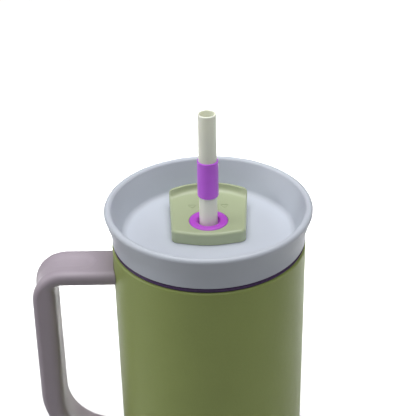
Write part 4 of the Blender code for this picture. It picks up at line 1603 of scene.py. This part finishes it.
    def build_stem(self) -> None:
        """The plug's lower half: a plate, a hollow stem and a boss round the grommet."""
        low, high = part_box("plug_stem")
        bottom, boss_top = low.z, high.z
        plate_bottom, plate_top = self.low.z, self.low.z + self.plate
        stem = Shaper.prism("plug_body", self.outline(self.wall + 2 * SEAT_GAP), plate_bottom, plate_top)
        boss = self.grommet_radius() + self.boss_wall
        parts = [
            Shaper.prism("stem_walls", self.lid.opening(self.stem_gap), bottom,
                         plate_bottom + self.plate / 2),
            Shaper.pillar("grommet_boss", (0, 0), boss, bottom + self.boss_lift, boss_top),
        ]
        hollow = Shaper.prism("stem_hollow", self.lid.opening(self.stem_gap + self.stem_wall),
                              bottom - OVERCUT, plate_bottom)
        Shaper.worked(stem, parts[:1], "UNION")
        Shaper.worked(stem, [hollow])
        Shaper.worked(stem, parts[1:], "UNION")
        ring_low, ring_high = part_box("plug_gasket")
        groove_low, groove_high = ring_low.z - 2 * SEAT_GAP, ring_high.z + 2 * SEAT_GAP
        outside = Shaper.prism("groove_outside", self.lid.opening(-OVERCUT), groove_low, groove_high)
        kept = Shaper.prism("groove_kept", self.lid.opening(self.stem_gap + self.groove),
                            groove_low - OVERCUT, groove_high + OVERCUT)
        Shaper.worked(outside, [kept])
        bore = Shaper.pillar("grommet_bore", (0, 0), self.grommet_radius() + SEAT_GAP, bottom - OVERCUT,
                             boss_top + OVERCUT)
        Shaper.worked(stem, [outside, bore])
        dress(stem, PALETTE.stem_plastic, Body.PLUG, "stem_plastic", "plug_stem")

    def build_gasket(self) -> None:
        """The soft ring in the stem's groove."""
        low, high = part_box("plug_gasket")
        ring = Shaper.prism("plug_ring", self.lid.opening(self.lid.opening_gap), low.z, high.z,
                            self.ring_edge)
        hollow = Shaper.prism("ring_hollow", self.lid.opening(self.stem_gap + self.groove - 2 * SEAT_GAP),
                              low.z - OVERCUT, high.z + OVERCUT)
        Shaper.worked(ring, [hollow])
        dress(ring, PALETTE.gasket_silicone, Body.PLUG, "gasket_silicone", "plug_gasket")

    def build_grommet(self) -> None:
        """The soft ring round the straw: a rounded flange that falls into a funnel, and a neck."""
        low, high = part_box("straw_grommet")
        edge, crown, bottom = high.x, high.z, low.z
        neck = self.grommet_radius()
        bore = edge_of("straw_tube") + self.straw_fit
        seat = self.top - self.grommet_recess + 2 * SEAT_GAP
        mouth = bore + self.funnel
        half = (edge - mouth) / 2
        shoulder = self.top - 2 * SEAT_GAP
        crest = [(mouth + half + half * math.cos(a),
                  shoulder + (crown - shoulder) * math.sin(a) ** self.grommet_crown)
                 for a in spaced(0, math.pi, self.crest_steps)]
        throat = self.top - 3 * self.funnel
        funnel = [(bore + self.funnel * (1 - smooth_step(share)), shoulder + (throat - shoulder) * share)
                  for share in spaced(0, 1, self.funnel_steps)][1:]
        soft = self.grommet_edge
        foot = rounded([(bore, throat, 0), (bore, bottom, soft), (neck, bottom, soft), (neck, seat, soft / 2),
                        (edge, seat, soft), (edge, shoulder, 0)], closed=False)[1:-1]
        grommet = Shaper.turned("straw_ring", crest + funnel + foot, SMALL_FACETS)
        dress(grommet, PALETTE.grommet_silicone, Body.PLUG, "grommet_silicone", "straw_grommet")

    def build(self) -> None:
        """Makes and dresses every piece of the plug."""
        self.build_cover()
        self.build_stem()
        self.build_gasket()
        self.build_grommet()


# ---------------------------------------------------------------- straw


@dataclass
class Straw:
    """The straw and the soft sleeve round it."""

    radius: float = field(default_factory=lambda: edge_of("straw_tube"))
    bottom: float = field(default_factory=lambda: bottom_of("straw_tube"))
    top: float = field(default_factory=lambda: top_of("straw_tube"))
    wall: float = 0.00105
    lip: float = 0.0005
    tip_angle: float = math.radians(35)
    sleeve_edge: float = 0.0005

    def build_tube(self) -> None:
        """The tube, with a rounded mouth and a slanted lower end."""
        inner = self.radius - self.wall
        lip = self.lip
        profile = [(self.radius, self.bottom)]
        profile += arc((self.radius - lip, self.top - lip), lip, 0, math.pi / 2, ARC_STEP * 2)
        profile += arc((inner + lip, self.top - lip), lip, math.pi / 2, math.pi, ARC_STEP * 2)
        profile += [(inner, self.bottom)]
        tube = Shaper.turned("straw_pipe", profile, SMALL_FACETS)
        reach = 4 * self.radius
        wedge = Shaper.block("straw_slant", (-reach, -reach, -reach), (reach, reach, 0))
        wedge.data.transform(Matrix.Translation((self.radius, 0, self.bottom))
                             @ Matrix.Rotation(self.tip_angle, 4, "Y"))
        Shaper.worked(tube, [wedge])
        dress(tube, PALETTE.straw_plastic, Body.STRAW, "straw_plastic", "straw_tube")

    def build_sleeve(self) -> None:
        """The sleeve, with soft rounded ends."""
        low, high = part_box("straw_sleeve")
        outer, inner = high.x, self.radius + SEAT_GAP
        turn = self.sleeve_edge
        profile = [(inner, low.z)]
        profile += arc((outer - turn, low.z + turn), turn, -math.pi / 2, 0, ARC_STEP * 2)
        profile += arc((outer - turn, high.z - turn), turn, 0, math.pi / 2, ARC_STEP * 2)
        profile += [(inner, high.z)]
        sleeve = Shaper.turned("straw_cuff", profile, SMALL_FACETS)
        dress(sleeve, PALETTE.sleeve_silicone, Body.STRAW, "sleeve_silicone", "straw_sleeve")

    def build(self) -> None:
        """Makes and dresses the straw and its sleeve."""
        self.build_tube()
        self.build_sleeve()


# ---------------------------------------------------------------- studio


@dataclass(frozen=True)
class Softbox:
    """One soft rectangular light."""

    name: str
    place: tuple[float, float, float]
    aim: tuple[float, float, float]
    size: Point2
    power: float
    spread: float = math.radians(180)
    mirrored: bool = True

    def build(self) -> None:
        """Hangs the light in the scene, turned to its aim."""
        lamp = bpy.data.lights.new(self.name, "AREA")
        lamp.shape = "RECTANGLE"
        lamp.size, lamp.size_y = self.size
        lamp.energy = self.power
        lamp.spread = self.spread
        thing = bpy.data.objects.new(self.name, lamp)
        bpy.context.scene.collection.objects.link(thing)
        thing.location = self.place
        towards = Vector(self.aim) - Vector(self.place)
        thing.rotation_euler = towards.to_track_quat("-Z", "Y").to_euler()
        thing.visible_glossy = self.mirrored


@dataclass
class Studio:
    """The floor, the lights, the surroundings and the camera."""

    floor_radius: float = 6.0
    floor_bend: float = 0.3
    wall_height: float = 1.2
    floor_drop: float = 0.0001
    surroundings: float = 0.05
    camera_place: tuple[float, float, float] = (0.0, -0.5769, 0.5891)
    camera_aim: tuple[float, float, float] = (0.0, 0.0, 0.2473)
    camera_lens: float = 111.9
    camera_sensor: float = 36.0
    camera_roll: float = math.radians(-0.98)
    camera_shift: float = -0.00084
    lights: tuple[Softbox, ...] = (
        Softbox("overhead", (0.0, 0.12, 1.35), (0.0, 0.12, 0.0), (1.3, 1.0), 8.0, math.radians(130)),
        Softbox("front_high", (0.0, -0.90, 1.25), (0.0, 0.0, 0.15), (1.2, 0.7), 2.3, math.radians(130)),
        Softbox("floor_glow", (0.0, 0.64, 0.90), (0.0, 0.55, 0.0), (1.3, 0.5), 11.6, math.radians(60),
                mirrored=False),
        Softbox("left_side", (-1.1, 0.00, 0.60), (0.0, 0.0, 0.18), (0.5, 0.6), 4.3),
        Softbox("right_side", (1.2, -0.10, 0.35), (0.0, 0.0, 0.16), (0.5, 0.6), 1.1),
    )

    def build_floor(self) -> None:
        """A pale floor that curves up into a wall far away all round."""
        turn = self.floor_bend
        path = [(0.0, 0.0)]
        path += arc((self.floor_radius - turn, turn), turn, -math.pi / 2, 0)
        path.append((self.floor_radius, self.wall_height))
        builder = bmesh.new()
        ring = [builder.verts.new((r, 0, z - self.floor_drop)) for r, z in path]
        edges = [builder.edges.new(pair) for pair in zip(ring, ring[1:])]
        bmesh.ops.spin(builder, geom=ring + edges, axis=(0, 0, 1), cent=(0, 0, 0), angle=math.tau,
                       steps=SMALL_FACETS, use_merge=True)
        bmesh.ops.remove_doubles(builder, verts=builder.verts, dist=MERGE_DISTANCE)
        mesh = bpy.data.meshes.new("floor")
        builder.to_mesh(mesh)
        builder.free()
        mesh.shade_smooth()
        floor = bpy.data.objects.new("floor", mesh)
        bpy.context.scene.collection.objects.link(floor)
        mesh.materials.append(PALETTE.floor_paper.material())

    def build_surroundings(self) -> None:
        """Even pale light from all round."""
        world = bpy.data.worlds.new("studio")
        world.use_nodes = True
        bpy.context.scene.world = world
        background = world.node_tree.nodes["Background"]
        background.inputs["Color"].default_value = (1.0, 1.0, 1.0, 1.0)
        background.inputs["Strength"].default_value = self.surroundings
        bpy.context.scene.view_settings.view_transform = "Standard"

    def build_camera(self) -> None:
        """The camera, above and in front of the tumbler."""
        lens = bpy.data.cameras.new("camera")
        lens.lens = self.camera_lens
        lens.sensor_width = self.camera_sensor
        lens.shift_x = self.camera_shift
        camera = bpy.data.objects.new("camera", lens)
        bpy.context.scene.collection.objects.link(camera)
        camera.location = self.camera_place
        towards = Vector(self.camera_aim) - Vector(self.camera_place)
        turn = towards.to_track_quat("-Z", "Y").to_matrix().to_4x4()
        turn = turn @ Matrix.Rotation(self.camera_roll, 4, "Z")
        camera.rotation_euler = turn.to_euler()
        bpy.context.scene.camera = camera

    def build(self) -> None:
        """Sets up the whole studio."""
        self.build_floor()
        self.build_surroundings()
        self.build_camera()
        for light in self.lights:
            light.build()


def main() -> None:
    """Builds the tumbler and the studio round it."""
    logging.basicConfig(level=logging.INFO, format="%(name)s %(message)s")
    cup = Cup()
    lid = Lid(cup)
    for assembly in (cup, Handle(cup), lid, Plug(lid), Straw(), Studio()):
        assembly.build()
        LOG.info("%s done", type(assembly).__name__)


if __name__ == "__main__":
    main()
